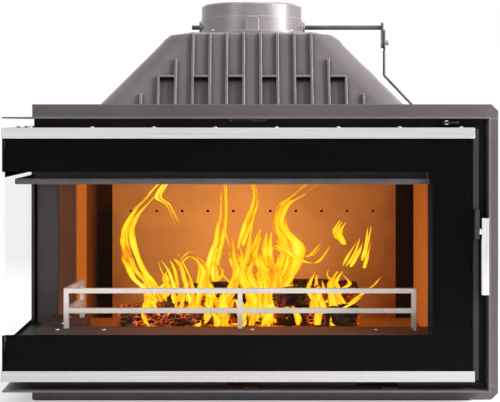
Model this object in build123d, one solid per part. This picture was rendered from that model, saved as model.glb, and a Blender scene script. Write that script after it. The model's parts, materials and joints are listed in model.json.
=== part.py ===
from build123d import *
import os

# Corner fireplace insert: a cast-iron firebox glazed on the front and on the left side.
# Millimetres. X to the right, Y away from the viewer, Z up.
# The origin is on the floor plane, under the flue's axis.

# Outline of the body
BODY_HALF_WIDTH = 394.0
BODY_HALF_DEPTH = 222.0
SIDE_BULGE = 34.0
JAMB_BACK = 223.0
CAST = 8.0
BASE_H = 28.0
BASE_TOP = 6.0
BASE_RIB = 6.0
DECK_DOWN = 23.0
PANEL_DEPTH = 2.5
PANEL_BORDER = 26.0
PANEL_R = 12.0

# Steel rim round the door
RIM_PLATE = 3.0
RIM_REACH = 45.0
RIM_LEG = 26.0
RIM_CLEAR_H = 481.0
RIM_GAP_RIGHT = 17.0
RIM_REAR = 89.0
RIM_CHAMFER = 12.0
RIM_SEAT = 12.0
RIM_LAP = 13.0
RIM_BEAD = 4.5

# Opening of the firebox
SILL_H = 92.0
SILL_LIP = 3.0
LEDGE_T = 6.0
LEDGE_FRONT_W = 80.0
LEDGE_LEFT_W = 72.0
OPENING_SIDE = 76.0
OPENING_DOWN = 89.0
HEARTH_DOWN = 35.0
HEARTH_T = 6.0

# Door
DOOR_GAP = 16.0
DOOR_OVER = 7.0
GLASS_T = 4.0
GLASS_INSET = 2.0
GLASS_SIDE_INSET = 10.0
SIDE_GLASS_REAR_IN = 12.0
PRINT_T = 0.4
PRINT_TOP_DROP = 5.4
PRINT_LOW_OVER = 6.0
PRINT_RIGHT_OVER = 1.0
SIDE_PRINT_TOP_DROP = 15.0
SIDE_PRINT_LOW_DROP = 8.0
SIDE_PRINT_REAR_OVER = 7.0
RAIL_H = 58.0
RAIL_DEPTH = 32.0
RAIL_WALL = 3.0
RAIL_SHORT = 11.0
STILE_OVER = 8.0
STILE_EDGE = 13.0
REAR_STILE_T = 6.0
STRIP_T = 2.0
STRIP_H = 19.0
SEAL_GAP = 0.2
SEAL_W = 10.0
SEAL_INSET = 7.0
SEAL_SIDE = 22.0
CLIP_W = 22.0
CLIP_REACH = 12.0
CLIP_H = 6.0
TRIM_SCREW_R = 4.0
TRIM_SCREW_H = 4.5
TRIM_SCREW_COUNT = 8
TRIM_SCREW_FIRST = 48.4
TRIM_SCREW_LAST = 20.2
TRIM_SCREW_IN = 8.0
SIDE_SCREW_COUNT = 3
SIDE_SCREW_FIRST = 83.0
SIDE_SCREW_PITCH = 75.0

# Door hinges
HINGE_IN = 6.0
HINGE_BACK = 63.0
HINGE_R = 8.0
HINGE_PIN_R = 4.0
RUN_GAP = 0.05
HINGE_H = 20.0
HINGE_LIFT = 0.3
HINGE_LOW_UP = 52.0
HINGE_HIGH_DOWN = 109.0
HINGE_PIN_PROUD = 2.0
STILE_SETBACK = 2.0

# Handle and latch
HANDLE_UP = 282.0
HANDLE_OUT = 6.0
HANDLE_PIN_R = 4.0
HANDLE_GAP = 1.7
GRIP_W = 13.8
GRIP_T = 14.0
GRIP_UP = 24.0
GRIP_DOWN = 111.0
GRIP_FILLET = 3.0
BRACKET_W = 8.0
BRACKET_T = 18.0
BRACKET_UP = 39.0
BRACKET_DOWN = 14.0
WASHER_R = 6.5
TONGUE_T = 4.0
TONGUE_LEN = 35.0
TONGUE_H = 11.0
STRIKE_T = 3.0
STRIKE_EAR_IN = 7.0
STRIKE_FOOT = 19.75
STRIKE_REACH = 24.0
STRIKE_H = 36.0
ROLLER_R = 4.0
ROLLER_SET = 22.0
ROLLER_GAP = 0.3

# Hood
HOOD_SIDE_MARGIN = 72.0
HOOD_END_MARGIN = 36.0
HOOD_BASE_R = 60.0
HOOD_SKIRT = 14.0
HOOD_RISE = 187.0
HOOD_TOP_W = 306.0
HOOD_TOP_MARGIN = 18.0
HOOD_TOP_R = 44.0
HOOD_ROUND = 24.0
HOOD_WALL = 10.0
HOOD_FLANGE = 6.0
HOOD_FLANGE_OUT = 13.0
RIB_PITCH = 31.7
RIB_T = 4.0
RIB_PROUD = 8.0
RIB_LONG_PAIRS = 4
RIB_SHORT_PAIRS = 3
RIB_SHORT_DOWN = 52.0
RIB_STEP_DOWN = 33.0
WEB_DOWN = 86.0
WEB_T = 3.5
POCKET_DEPTH = 5.0
HOOD_BOLT_R = 6.5
HOOD_BOLT_H = 5.0
HOOD_BOLT_Y = 110.0

# Flue collar and damper
FLUE_R = 100.0
FLUE_WALL = 6.0
FLUE_STEP = 1.0
FLUE_RISE = 60.0
FLUE_FREE = 27.0
FLUE_CHAMFER = 3.0
FLUE_FLANGE_OUT = 10.0
FLUE_FLANGE_T = 6.0
LUG_W = 25.0
LUG_PROUD = 5.0
LUG_H = 31.0
SHAFT_R = 4.5
SHAFT_UP = 18.0
SHAFT_LEFT_OUT = 19.5
SHAFT_RIGHT_OUT = 157.0
BOSS_R = 12.0
BOSS_PROUD = 3.5
DAMPER_GAP = 4.0
DAMPER_T = 3.0
DAMPER_STRAP_R = 7.5
DAMPER_STRAP_LEN = 60.0
CRANK_T = 4.0
CRANK_W = 16.0
CRANK_THROW = 29.5
CRANK_UP = 10.5
CRANK_DOWN = 11.5
PIN_R = 3.0
PIN_HEAD_R = 5.5
PIN_HEAD_T = 7.0
LINK_GAP = 0.5
LINK_T = 3.0
LINK_W = 18.0
LINK_SLOT_SIDE = 1.7
LINK_SLOT_UP = 16.0
LINK_MARGIN = 5.0
LINK_DOWN = 16.5
ROD_R = 2.5
ROD_STRAIGHT = 49.0
ROD_SIDE = 42.0
ROD_DOWN = 7.0
ROD_BEND_R = 8.0
ROD_SLOT = 1.0
KNOB_W = 31.0
KNOB_T = 3.5
KNOB_LEN = 30.0
KNOB_BACK = 8.0

# Air controls
TAB_T = 3.0
TAB_BACK = 12.0
TAB_W = 31.0
SLIDE_GAP = 0.3
SLIDE_DEPTH = 16.0
SLIDE_SIDE = 34.0
WASH_X = 11.0
WASH_DOWN = 4.5
WASH_TRAVEL = 36.0
PRIMARY_X = -3.0
PRIMARY_W = 26.0
PRIMARY_TRAVEL = 30.0
SECONDARY_X = 245.0
SECONDARY_TRAVEL = 40.0
DUCT_LEN = 420.0
DUCT_DEPTH = 18.0
DUCT_WALL = 2.0

# Lining and parts inside the firebox
LINER_T = 30.0
LINER_OVER = 5.0
BACK_CAVITY = 14.0
BACK_LINER_LEFT_IN = 96.5
BACK_LINER_RIGHT_IN = 87.5
AIR_HOLE_R = 4.0
AIR_HOLE_FIRST = 39.7
AIR_HOLE_PITCH = 54.9
AIR_HOLE_COUNT = 5
AIR_HOLE_UP = 227.0
RIGHT_CAVITY = 11.0
RIGHT_LINER_SET = 32.0
LEFT_LINER_FRONT_IN = 5.0
LEFT_LINER_REAR_IN = 30.0
LEFT_LINER_T = 25.0
LEFT_LINER_FRONT = 12.0
LEFT_RETURN_W = 11.0
RETAINER_T = 6.0
RETAINER_SET = 2.0
SPACER_W = 12.0
DEFLECTOR_OUT = 29.0
DEFLECTOR_SHORT = 2.0
DEFLECTOR_DROP = 18.0
DEFLECTOR_LIP = 10.0
DEFLECTOR_T = 3.0
DEFLECTOR_W = 62.0
BAFFLE_T = 20.0
BAFFLE_SET = 152.0
BAFFLE_SIDE_GAP = 4.0
BAFFLE_BAR = 8.0
GRATE_W = 230.0
GRATE_D = 170.0
GRATE_BACK = 110.0
GRATE_REBATE = 8.0
GRATE_GAP = 0.5
GRATE_SLOTS = 9
GRATE_SLOT_W = 10.0
GRATE_BORDER = 16.0
PAN_MARGIN = 14.0
PAN_H = 44.0
PAN_WALL = 2.0
INLET_R = 62.5
INLET_WALL = 2.0
INLET_LEN = 20.0
INLET_X = -200.0
INLET_Y = 110.0

# Wood on the grate
BED_MARGIN = 12.0
BED_H = 12.0
BED_SLOPE = 10.0
LOG_LOW_H = 52.0
LOG_HIGH_H = 44.0
LOG_LOW = ((-150.0, 12.0, 240.0, 58.0, 17.0), (100.0, 8.0, 230.0, 54.0, -14.0), (10.0, 112.0, 400.0, 62.0, -3.0))
LOG_HIGH = ((20.0, 66.0, 290.0, 50.0, 14.0), (129.0, 11.0, 210.0, 44.0, 40.0))

# Log guard
GUARD_BAR = 9.0
GUARD_H = 74.0
GUARD_LOW_RAIL = 28.0
GUARD_SET = 63.0
GUARD_LEFT_IN = 48.6
GUARD_RIGHT_IN = 17.7
GUARD_RETURN_SET = 37.0
GUARD_RETURN_IN = 12.4

# Small fasteners
SMALL_SCREW_R = 4.0
SMALL_SCREW_H = 2.5

# Places of the body and the rim
BODY_LEFT = -BODY_HALF_WIDTH
BODY_RIGHT = BODY_HALF_WIDTH
BODY_FRONT = -BODY_HALF_DEPTH
BODY_BACK = BODY_HALF_DEPTH
JAMB_Y = BODY_FRONT + JAMB_BACK
REAR_LEFT = BODY_LEFT - SIDE_BULGE
FLANGE_FRONT = BODY_FRONT - RIM_PLATE
FLANGE_LEFT = BODY_LEFT - RIM_PLATE
GLASS_FRONT = FLANGE_FRONT - RIM_REACH
GLASS_LEFT = FLANGE_LEFT - RIM_REACH
DOOR_RIGHT = BODY_RIGHT + DOOR_OVER
RIM_LOW = BASE_H
RIM_HIGH = RIM_LOW + RIM_CLEAR_H
RIM_RIGHT_IN = DOOR_RIGHT + RIM_GAP_RIGHT
RIM_RIGHT_OUT = RIM_RIGHT_IN + RIM_PLATE
RIM_REAR_Y = JAMB_Y + RIM_REAR
FLANGE_RIGHT = RIM_RIGHT_IN + RIM_LEG
DECK_TOP = RIM_HIGH - DECK_DOWN
DECK_LOW = DECK_TOP - CAST
SILL_TOP = BASE_H + SILL_H
HEARTH_TOP = SILL_TOP - HEARTH_DOWN
OPENING_RIGHT = BODY_RIGHT - OPENING_SIDE
OPENING_TOP = RIM_HIGH - OPENING_DOWN

# Places of the door
HINGE_X = GLASS_LEFT + HINGE_IN
HINGE_Y = JAMB_Y + HINGE_BACK
HINGE_LOW_Z = RIM_LOW + HINGE_LOW_UP
HINGE_HIGH_Z = RIM_HIGH - HINGE_HIGH_DOWN
DOOR_LOW = RIM_LOW + DOOR_GAP
DOOR_HIGH = RIM_HIGH - DOOR_GAP
GLASS_RIGHT = DOOR_RIGHT - GLASS_SIDE_INSET
GLASS_LOW = DOOR_LOW + GLASS_INSET
GLASS_HIGH = DOOR_HIGH - GLASS_INSET
GLASS_BACK = GLASS_FRONT + GLASS_T
GLASS_RIGHT_FACE = GLASS_LEFT + GLASS_T
SIDE_GLASS_REAR = HINGE_Y - SIDE_GLASS_REAR_IN
REAR_STILE_END = HINGE_Y - HINGE_R - STILE_SETBACK
STRIP_RIGHT = GLASS_RIGHT + STRIP_T
TRIM_SCREW_PITCH = (GLASS_RIGHT - TRIM_SCREW_LAST - GLASS_LEFT - TRIM_SCREW_FIRST) / (TRIM_SCREW_COUNT - 1)
PRINT_TOP_EDGE = OPENING_TOP - PRINT_TOP_DROP
PRINT_LOW_EDGE = SILL_TOP + PRINT_LOW_OVER
PRINT_RIGHT_EDGE = OPENING_RIGHT + PRINT_RIGHT_OVER
SIDE_PRINT_TOP_EDGE = OPENING_TOP - SIDE_PRINT_TOP_DROP
SIDE_PRINT_LOW_EDGE = SILL_TOP - SIDE_PRINT_LOW_DROP
SIDE_PRINT_REAR = JAMB_Y + SIDE_PRINT_REAR_OVER
RAIL_REAR_Y = JAMB_Y - RAIL_SHORT
RAIL_FRONT = GLASS_BACK + PRINT_T
RAIL_OUTER = GLASS_RIGHT_FACE + PRINT_T
RAIL_BACK = RAIL_FRONT + RAIL_DEPTH
RAIL_INNER = RAIL_OUTER + RAIL_DEPTH
LOW_RAIL_TOP = GLASS_LOW + RAIL_H
HIGH_RAIL_LOW = GLASS_HIGH - RAIL_H
STILE_LEFT = OPENING_RIGHT + STILE_OVER
SEAL_RIGHT_X = OPENING_RIGHT + SEAL_SIDE
HANDLE_Z = RIM_LOW + HANDLE_UP
HANDLE_Y = GLASS_FRONT - HANDLE_OUT
GRIP_LEFT = DOOR_RIGHT + HANDLE_GAP
STRIKE_EAR_X = RIM_RIGHT_IN - STRIKE_EAR_IN

# Places of the hood, the flue and the damper
HOOD_BASE_W = 2 * (BODY_HALF_WIDTH - HOOD_SIDE_MARGIN)
HOOD_BASE_D = 2 * (BODY_HALF_DEPTH - HOOD_END_MARGIN)
HOOD_TOP = DECK_TOP + HOOD_RISE
HOOD_TOP_D = 2 * (FLUE_R + HOOD_TOP_MARGIN)
RIB_SHORT_TOP = HOOD_TOP - RIB_SHORT_DOWN
WEB_Z = HOOD_TOP - WEB_DOWN
HOOD_BOLTS_Y = (-HOOD_BOLT_Y, HOOD_BOLT_Y)
FLUE_TOP = HOOD_TOP + FLUE_RISE
FLUE_FLANGE_R = FLUE_R + FLUE_FLANGE_OUT
LUG_TOP = HOOD_TOP + LUG_H
SHAFT_Z = HOOD_TOP + SHAFT_UP
SHAFT_LEFT = -FLUE_R - SHAFT_LEFT_OUT
SHAFT_RIGHT = FLUE_R + SHAFT_RIGHT_OUT
LINK_BOTTOM = SHAFT_Z - CRANK_THROW - LINK_DOWN
ROD_BEND_Z = LINK_BOTTOM - ROD_STRAIGHT
ROD_X = BODY_RIGHT - ROD_SIDE
ROD_Z = RIM_HIGH - ROD_DOWN
KNOB_FRONT = GLASS_FRONT + KNOB_BACK
TAB_FRONT = GLASS_FRONT + TAB_BACK
WASH_Z = RIM_HIGH - WASH_DOWN

# Places of the lining and the parts inside
LINER_TOP = OPENING_TOP + LINER_OVER
BACK_LINER_Y = BODY_BACK - CAST - BACK_CAVITY - LINER_T
BACK_LINER_LEFT = BODY_LEFT + BACK_LINER_LEFT_IN
BACK_LINER_RIGHT = BODY_RIGHT - BACK_LINER_RIGHT_IN
AIR_HOLE_Z = HEARTH_TOP + AIR_HOLE_UP
RIGHT_LINER_X = BODY_RIGHT - CAST - RIGHT_CAVITY - LINER_T
RIGHT_LINER_FRONT = BODY_FRONT + RIGHT_LINER_SET
LEFT_LINER_FRONT_X = BODY_LEFT + LEFT_LINER_FRONT_IN
LEFT_LINER_REAR_X = BODY_LEFT + LEFT_LINER_REAR_IN
DEFLECTOR_RIGHT = OPENING_RIGHT - DEFLECTOR_SHORT
DEFLECTOR_TOP = OPENING_TOP - DEFLECTOR_DROP
BAFFLE_FRONT = BODY_FRONT + BAFFLE_SET
GRATE_Y = BACK_LINER_Y - GRATE_BACK
GUARD_Y = BODY_FRONT + GUARD_SET
GUARD_LEFT = BODY_LEFT + GUARD_LEFT_IN
GUARD_RIGHT = OPENING_RIGHT - GUARD_RIGHT_IN
GUARD_MID = (GUARD_LEFT + GUARD_RIGHT) / 2
GUARD_RETURN_X = GUARD_LEFT + GUARD_RETURN_IN
GUARD_RETURN_Y = JAMB_Y - GUARD_RETURN_SET


def block(x0, x1, y0, y1, z0, z1):
    """A box between two corners."""
    centre = Pos((x0 + x1) / 2, (y0 + y1) / 2, (z0 + z1) / 2)
    return centre * Box(abs(x1 - x0), abs(y1 - y0), abs(z1 - z0))


def rod(x, y, z, radius, length, axis="Z"):
    """A cylinder that starts at a point and runs along an axis."""
    turn = {"X": Rot(0, 90, 0), "Y": Rot(-90, 0, 0), "Z": Rot(0, 0, 0)}[axis]
    shape = Cylinder(radius, length, align=(Align.CENTER, Align.CENTER, Align.MIN))
    return Pos(x, y, z) * turn * shape


def plan(points, z0, z1):
    """A prism on an outline drawn in plan."""
    face = make_face(Polyline(*points, close=True))
    return Pos(0, 0, z0) * extrude(face, z1 - z0)


def corner_plan(x_out, y_out, width_x, width_y, x_end, y_end, z0, z1):
    """An L-shaped prism: one run along the front, one back along the left side."""
    points = [
        (x_out, y_end),
        (x_out, y_out),
        (x_end, y_out),
        (x_end, y_out + width_y),
        (x_out + width_x, y_out + width_y),
        (x_out + width_x, y_end),
    ]
    return plan(points, z0, z1)


def body_outline(inset=0.0):
    """The body's outline in plan: the rear of the left side stands out past the glazed part."""
    left = BODY_LEFT + inset
    right = BODY_RIGHT - inset
    front = BODY_FRONT + inset
    back = BODY_BACK - inset
    jamb = JAMB_Y + inset
    rear = REAR_LEFT + inset
    return [(left, front), (right, front), (right, back), (rear, back), (rear, jamb), (left, jamb)]


def joined(shapes):
    """Shapes that are one piece of metal."""
    shapes = list(shapes)
    whole = shapes[0]
    for shape in shapes[1:]:
        whole = whole + shape
    return whole


def group(shapes):
    """Separate identical solids that share a node."""
    return Compound(children=[piece for shape in shapes for piece in shape.solids()])


# Castings of the body

def side_panel(x, y0, y1, z0, z1, side):
    """A shallow recess with round corners in a casting's side face."""
    outline = Plane((x, (y0 + y1) / 2, (z0 + z1) / 2), x_dir=(0, 1, 0), z_dir=(side, 0, 0))
    return extrude(outline * RectangleRounded(y1 - y0, z1 - z0, PANEL_R), -PANEL_DEPTH)


def back_panel(x0, x1, z0, z1):
    """A shallow recess with round corners in the back's outer face."""
    outline = Plane(((x0 + x1) / 2, BODY_BACK, (z0 + z1) / 2), x_dir=(-1, 0, 0), z_dir=(0, 1, 0))
    return extrude(outline * RectangleRounded(x1 - x0, z1 - z0, PANEL_R), -PANEL_DEPTH)


def base_casting():
    shape = plan(body_outline(), 0, BASE_H)
    shape -= plan(body_outline(CAST), 0, BASE_H - BASE_TOP)
    half = BASE_RIB / 2
    rib_top = BASE_H - BASE_TOP
    inner_x = BODY_HALF_WIDTH - CAST
    inner_y = BODY_HALF_DEPTH - CAST
    shape += block(-inner_x, inner_x, -half, half, 0, rib_top)
    shape += block(-half, half, -inner_y, inner_y, 0, rib_top)
    shape -= rod(INLET_X, INLET_Y, 0, INLET_R - INLET_WALL, BASE_H)
    return shape


def inlet_spigot():
    top = BASE_H - BASE_TOP
    shape = rod(INLET_X, INLET_Y, top - INLET_LEN, INLET_R, INLET_LEN)
    return shape - rod(INLET_X, INLET_Y, top - INLET_LEN, INLET_R - INLET_WALL, INLET_LEN)


LOW_TABS = ((PRIMARY_X, PRIMARY_W, PRIMARY_TRAVEL), (SECONDARY_X, TAB_W, SECONDARY_TRAVEL))


def tab_slot(x, width, travel, y0, y1, z):
    """The slot that an air control's tab slides in, from its place to the left."""
    half = width / 2 + SLIDE_GAP
    return block(x - travel - half, x + half, y0, y1, z - SLIDE_GAP, z + TAB_T + SLIDE_GAP)


def sill_casting():
    beam_top = SILL_TOP - LEDGE_T
    shape = block(BODY_LEFT, BODY_RIGHT, BODY_FRONT, BODY_FRONT + CAST, BASE_H, beam_top)
    shape += block(BODY_LEFT, BODY_LEFT + CAST, BODY_FRONT, JAMB_Y, BASE_H, beam_top)
    lip = SILL_LIP
    ledge_front = BODY_FRONT + LEDGE_FRONT_W
    ledge_left = BODY_LEFT + LEDGE_LEFT_W
    shape += corner_plan(BODY_LEFT - lip, BODY_FRONT - lip, LEDGE_LEFT_W + lip, LEDGE_FRONT_W + lip,
                         OPENING_RIGHT, JAMB_Y, beam_top, SILL_TOP)
    shape += block(OPENING_RIGHT, RIGHT_LINER_X, BODY_FRONT, ledge_front, beam_top, SILL_TOP)
    shape += block(RIGHT_LINER_X, BODY_RIGHT, BODY_FRONT, BODY_FRONT + CAST, beam_top, SILL_TOP)
    shape += block(ledge_left - LEDGE_T, RIGHT_LINER_X, ledge_front - LEDGE_T, ledge_front,
                   HEARTH_TOP, beam_top)
    shape += block(ledge_left - LEDGE_T, ledge_left, ledge_front, JAMB_Y, HEARTH_TOP, beam_top)
    slot_z = BASE_H + SLIDE_GAP
    for x, width, travel in LOW_TABS:
        shape -= tab_slot(x, width, travel, BODY_FRONT, BODY_FRONT + CAST, slot_z)
    return shape


def front_casting():
    y0 = BODY_FRONT
    y1 = BODY_FRONT + CAST
    shape = block(OPENING_RIGHT, BODY_RIGHT, y0, y1, SILL_TOP, OPENING_TOP)
    shape += block(BODY_LEFT, BODY_RIGHT, y0, y1, OPENING_TOP, RIM_HIGH)
    shape += block(BODY_LEFT, BODY_RIGHT, y0, y1, RIM_HIGH, RIM_HIGH + RIM_SEAT)
    shape += block(BODY_RIGHT - RIM_LAP, RIM_RIGHT_IN, FLANGE_FRONT, y0, RIM_LOW + RIM_BEAD, RIM_HIGH)
    shape -= tab_slot(WASH_X, TAB_W, WASH_TRAVEL, y0, y1, WASH_Z)
    play = ROD_R + ROD_SLOT
    shape -= block(ROD_X - play, ROD_X + play, y0, y1, ROD_Z - play, ROD_Z + play)
    return shape


def left_side_casting():
    shape = block(BODY_LEFT, BODY_LEFT + CAST, BODY_FRONT + CAST, JAMB_Y, OPENING_TOP, DECK_LOW)
    shape += block(REAR_LEFT, BODY_LEFT + CAST, JAMB_Y, JAMB_Y + CAST, BASE_H, DECK_LOW)
    shape += block(REAR_LEFT, REAR_LEFT + CAST, JAMB_Y + CAST, BODY_BACK - CAST, BASE_H, DECK_LOW)
    front = HINGE_Y + HINGE_R + PANEL_BORDER
    rear = BODY_BACK - PANEL_BORDER
    return shape - side_panel(REAR_LEFT, front, rear, BASE_H + PANEL_BORDER, DECK_LOW - PANEL_BORDER, -1)


def right_side_casting():
    x0 = BODY_RIGHT - CAST
    shape = block(x0, BODY_RIGHT, BODY_FRONT + CAST, BODY_BACK - CAST, BASE_H, DECK_LOW)
    liner_back = RIGHT_LINER_X + LINER_T
    for y in (RIGHT_LINER_FRONT + SPACER_W, BACK_LINER_Y - 2 * SPACER_W):
        shape += block(liner_back, x0, y, y + SPACER_W, HEARTH_TOP, LINER_TOP)
    low = BASE_H + PANEL_BORDER
    high = DECK_LOW - PANEL_BORDER
    half = PANEL_BORDER / 2
    shape -= side_panel(BODY_RIGHT, BODY_FRONT + PANEL_BORDER + CAST, -half, low, high, 1)
    return shape - side_panel(BODY_RIGHT, half, BODY_BACK - PANEL_BORDER, low, high, 1)


def back_casting():
    y0 = BODY_BACK - CAST
    shape = block(REAR_LEFT, BODY_RIGHT, y0, BODY_BACK, BASE_H, DECK_LOW)
    liner_back = BACK_LINER_Y + LINER_T
    for x in (BACK_LINER_LEFT + SPACER_W, -SPACER_W / 2, BACK_LINER_RIGHT - 2 * SPACER_W):
        shape += block(x, x + SPACER_W, liner_back, y0, HEARTH_TOP, LINER_TOP)
    third = (BODY_RIGHT - REAR_LEFT - 2 * PANEL_BORDER) / 3
    half = PANEL_BORDER / 2
    for i in range(3):
        left = REAR_LEFT + PANEL_BORDER + i * third
        shape -= back_panel(left + half, left + third - half, BASE_H + PANEL_BORDER, DECK_LOW - PANEL_BORDER)
    return shape


def deck_casting():
    shape = plan(body_outline(), DECK_LOW, DECK_TOP)
    shape -= block(BODY_LEFT, BODY_RIGHT, BODY_FRONT, BODY_FRONT + CAST, DECK_LOW, DECK_TOP)
    opening = RectangleRounded(HOOD_BASE_W - 2 * HOOD_WALL, HOOD_BASE_D - 2 * HOOD_WALL, HOOD_BASE_R - HOOD_WALL)
    shape -= Pos(0, 0, DECK_LOW) * extrude(opening, CAST)
    return shape + block(BODY_LEFT, BODY_LEFT + CAST, BODY_FRONT + CAST, RIM_REAR_Y,
                         DECK_TOP, RIM_HIGH + RIM_SEAT)


# Hood, collar and damper

def hood_levels():
    """Height and share of the slope at each ring of the hood: skirt, slope, then a rounded shoulder."""
    slope_low = DECK_TOP + HOOD_SKIRT
    rise = HOOD_TOP - slope_low
    levels = [(DECK_TOP, 0.0), (slope_low, 0.0)]
    for drop, back in ((1.0, 1.05), (0.5, 0.62), (0.15, 0.2), (0.0, -0.35)):
        levels.append((HOOD_TOP - drop * HOOD_ROUND, 1.0 - back * HOOD_ROUND / rise))
    return levels


def hood_body(grow_x=0.0, grow_y=0.0, drop=0.0):
    """The hood's solid shape, grown or shrunk sideways by a wall, with its top lowered."""
    rings = []
    for z, share in hood_levels():
        width = HOOD_BASE_W + (HOOD_TOP_W - HOOD_BASE_W) * share + 2 * grow_x
        depth = HOOD_BASE_D + (HOOD_TOP_D - HOOD_BASE_D) * share + 2 * grow_y
        radius = HOOD_BASE_R + (HOOD_TOP_R - HOOD_BASE_R) * share
        radius = max(radius + min(grow_x, grow_y), 1.0)
        level = z if z == DECK_TOP else z - drop
        rings.append(Pos(0, 0, level) * RectangleRounded(width, depth, radius))
    return loft(Sketch() + rings, ruled=True)


def rib_places():
    """X of each rib on one half of the face, with the height that it reaches."""
    places = []
    for i in range(RIB_LONG_PAIRS + RIB_SHORT_PAIRS):
        x = RIB_PITCH * (i + 0.5)
        short = i - RIB_LONG_PAIRS
        top = HOOD_TOP if short < 0 else RIB_SHORT_TOP - short * RIB_STEP_DOWN
        places.append((x, top))
    return places


def web_bays():
    """The bays between ribs that a cross web closes, as pairs of rib places."""
    centres = [x for x, top in rib_places()]
    bays = []
    for i in range(0, len(centres) - 1, 2):
        for side in (-1, 1):
            bays.append(sorted((side * centres[i], side * centres[i + 1])))
    return bays


def hood_casting():
    outer = hood_body()
    skirt_low = DECK_TOP + HOOD_FLANGE
    front_y = -HOOD_BASE_D / 2 - RIB_PROUD
    fins = []
    for x, top in rib_places():
        for side in (-1, 1):
            centre = side * x
            fins.append(block(centre - RIB_T / 2, centre + RIB_T / 2, front_y, -front_y, skirt_low, top))
    for low, high in web_bays():
        fins.append(block(low, high, front_y, 0, WEB_Z, WEB_Z + WEB_T))
    grown = hood_body(grow_y=RIB_PROUD)
    shape = outer + (joined(fins) & grown)
    thin = hood_body(-POCKET_DEPTH, -POCKET_DEPTH)
    skin = outer - thin
    for low, high in web_bays():
        pocket = block(low + RIB_T / 2, high - RIB_T / 2, front_y, 0, skirt_low + HOOD_SKIRT, WEB_Z)
        shape -= skin & pocket
    shape -= hood_body(-HOOD_WALL, -HOOD_WALL, HOOD_WALL)
    flange = RectangleRounded(HOOD_BASE_W + 2 * HOOD_FLANGE_OUT, HOOD_BASE_D, HOOD_BASE_R)
    window = RectangleRounded(HOOD_BASE_W - 2 * HOOD_WALL, HOOD_BASE_D - 2 * HOOD_WALL, HOOD_BASE_R - HOOD_WALL)
    shape += Pos(0, 0, DECK_TOP) * extrude(flange - window, HOOD_FLANGE)
    shape -= rod(0, 0, DECK_TOP, FLUE_R - FLUE_WALL, HOOD_TOP - DECK_TOP + HOOD_WALL)
    return shape


def hood_bolts():
    z = DECK_TOP + HOOD_FLANGE
    x = HOOD_BASE_W / 2 + HOOD_FLANGE_OUT / 2 - 1
    bolts = []
    for side in (-1, 1):
        for y in HOOD_BOLTS_Y:
            head = extrude(RegularPolygon(HOOD_BOLT_R, 6), HOOD_BOLT_H)
            bolts.append(Pos(side * (x + 1), y, z) * head)
    return group(bolts)


def flue_collar():
    outer = FLUE_R + FLUE_STEP
    flange = rod(0, 0, HOOD_TOP, FLUE_FLANGE_R, FLUE_FLANGE_T)
    lower = rod(0, 0, HOOD_TOP, outer, FLUE_TOP - FLUE_FREE - HOOD_TOP)
    upper = rod(0, 0, HOOD_TOP, FLUE_R, FLUE_TOP - HOOD_TOP)
    upper = chamfer(upper.edges().group_by(Axis.Z)[-1], FLUE_CHAMFER)
    shape = flange + lower + upper
    lug_sketch = Rectangle(LUG_W, LUG_TOP - HOOD_TOP, align=(Align.CENTER, Align.MIN))
    lug_sketch = fillet(lug_sketch.vertices().group_by(Axis.Y)[-1], LUG_W / 4)
    for y in (FLUE_WALL - outer, outer + LUG_PROUD):
        lug = Plane((0, y, HOOD_TOP), x_dir=(1, 0, 0), z_dir=(0, -1, 0)) * lug_sketch
        shape += extrude(lug, LUG_PROUD + FLUE_WALL)
    boss_half = outer + BOSS_PROUD
    shape += rod(-boss_half, 0, SHAFT_Z, BOSS_R, 2 * boss_half, "X")
    shape -= rod(0, 0, HOOD_TOP - 1, FLUE_R - FLUE_WALL, FLUE_TOP - HOOD_TOP + 2)
    shape -= rod(SHAFT_LEFT, 0, SHAFT_Z, SHAFT_R + RUN_GAP, SHAFT_RIGHT - SHAFT_LEFT, "X")
    return shape


def damper_shaft():
    return rod(SHAFT_LEFT, 0, SHAFT_Z, SHAFT_R, SHAFT_RIGHT - SHAFT_LEFT, "X")


def damper_plate():
    radius = FLUE_R - FLUE_WALL - DAMPER_GAP
    shape = rod(0, 0, SHAFT_Z - DAMPER_T / 2, radius, DAMPER_T)
    for side in (-1, 1):
        start = side * radius / 2 - DAMPER_STRAP_LEN / 2
        shape += rod(start, 0, SHAFT_Z, DAMPER_STRAP_R, DAMPER_STRAP_LEN, "X")
    return shape - rod(-radius, 0, SHAFT_Z, SHAFT_R, 2 * radius, "X")


def damper_crank():
    pin_z = SHAFT_Z - CRANK_THROW
    low = pin_z - CRANK_DOWN
    high = SHAFT_Z + CRANK_UP
    x0 = SHAFT_RIGHT
    shape = block(x0, x0 + CRANK_T, -CRANK_W / 2, CRANK_W / 2, low, high)
    shape = fillet(shape.edges().filter_by(Axis.X), CRANK_W / 2 - 0.5)
    return shape - rod(x0, 0, pin_z, PIN_R, CRANK_T, "X")


def crank_bolt():
    pin_z = SHAFT_Z - CRANK_THROW
    head_x = SHAFT_RIGHT + CRANK_T + 2 * LINK_GAP + LINK_T
    shank = rod(SHAFT_RIGHT, 0, pin_z, PIN_R, head_x - SHAFT_RIGHT, "X")
    head = Pos(head_x, 0, pin_z) * Rot(0, 90, 0) * extrude(RegularPolygon(PIN_HEAD_R, 6), PIN_HEAD_T)
    return shank + head


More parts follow.
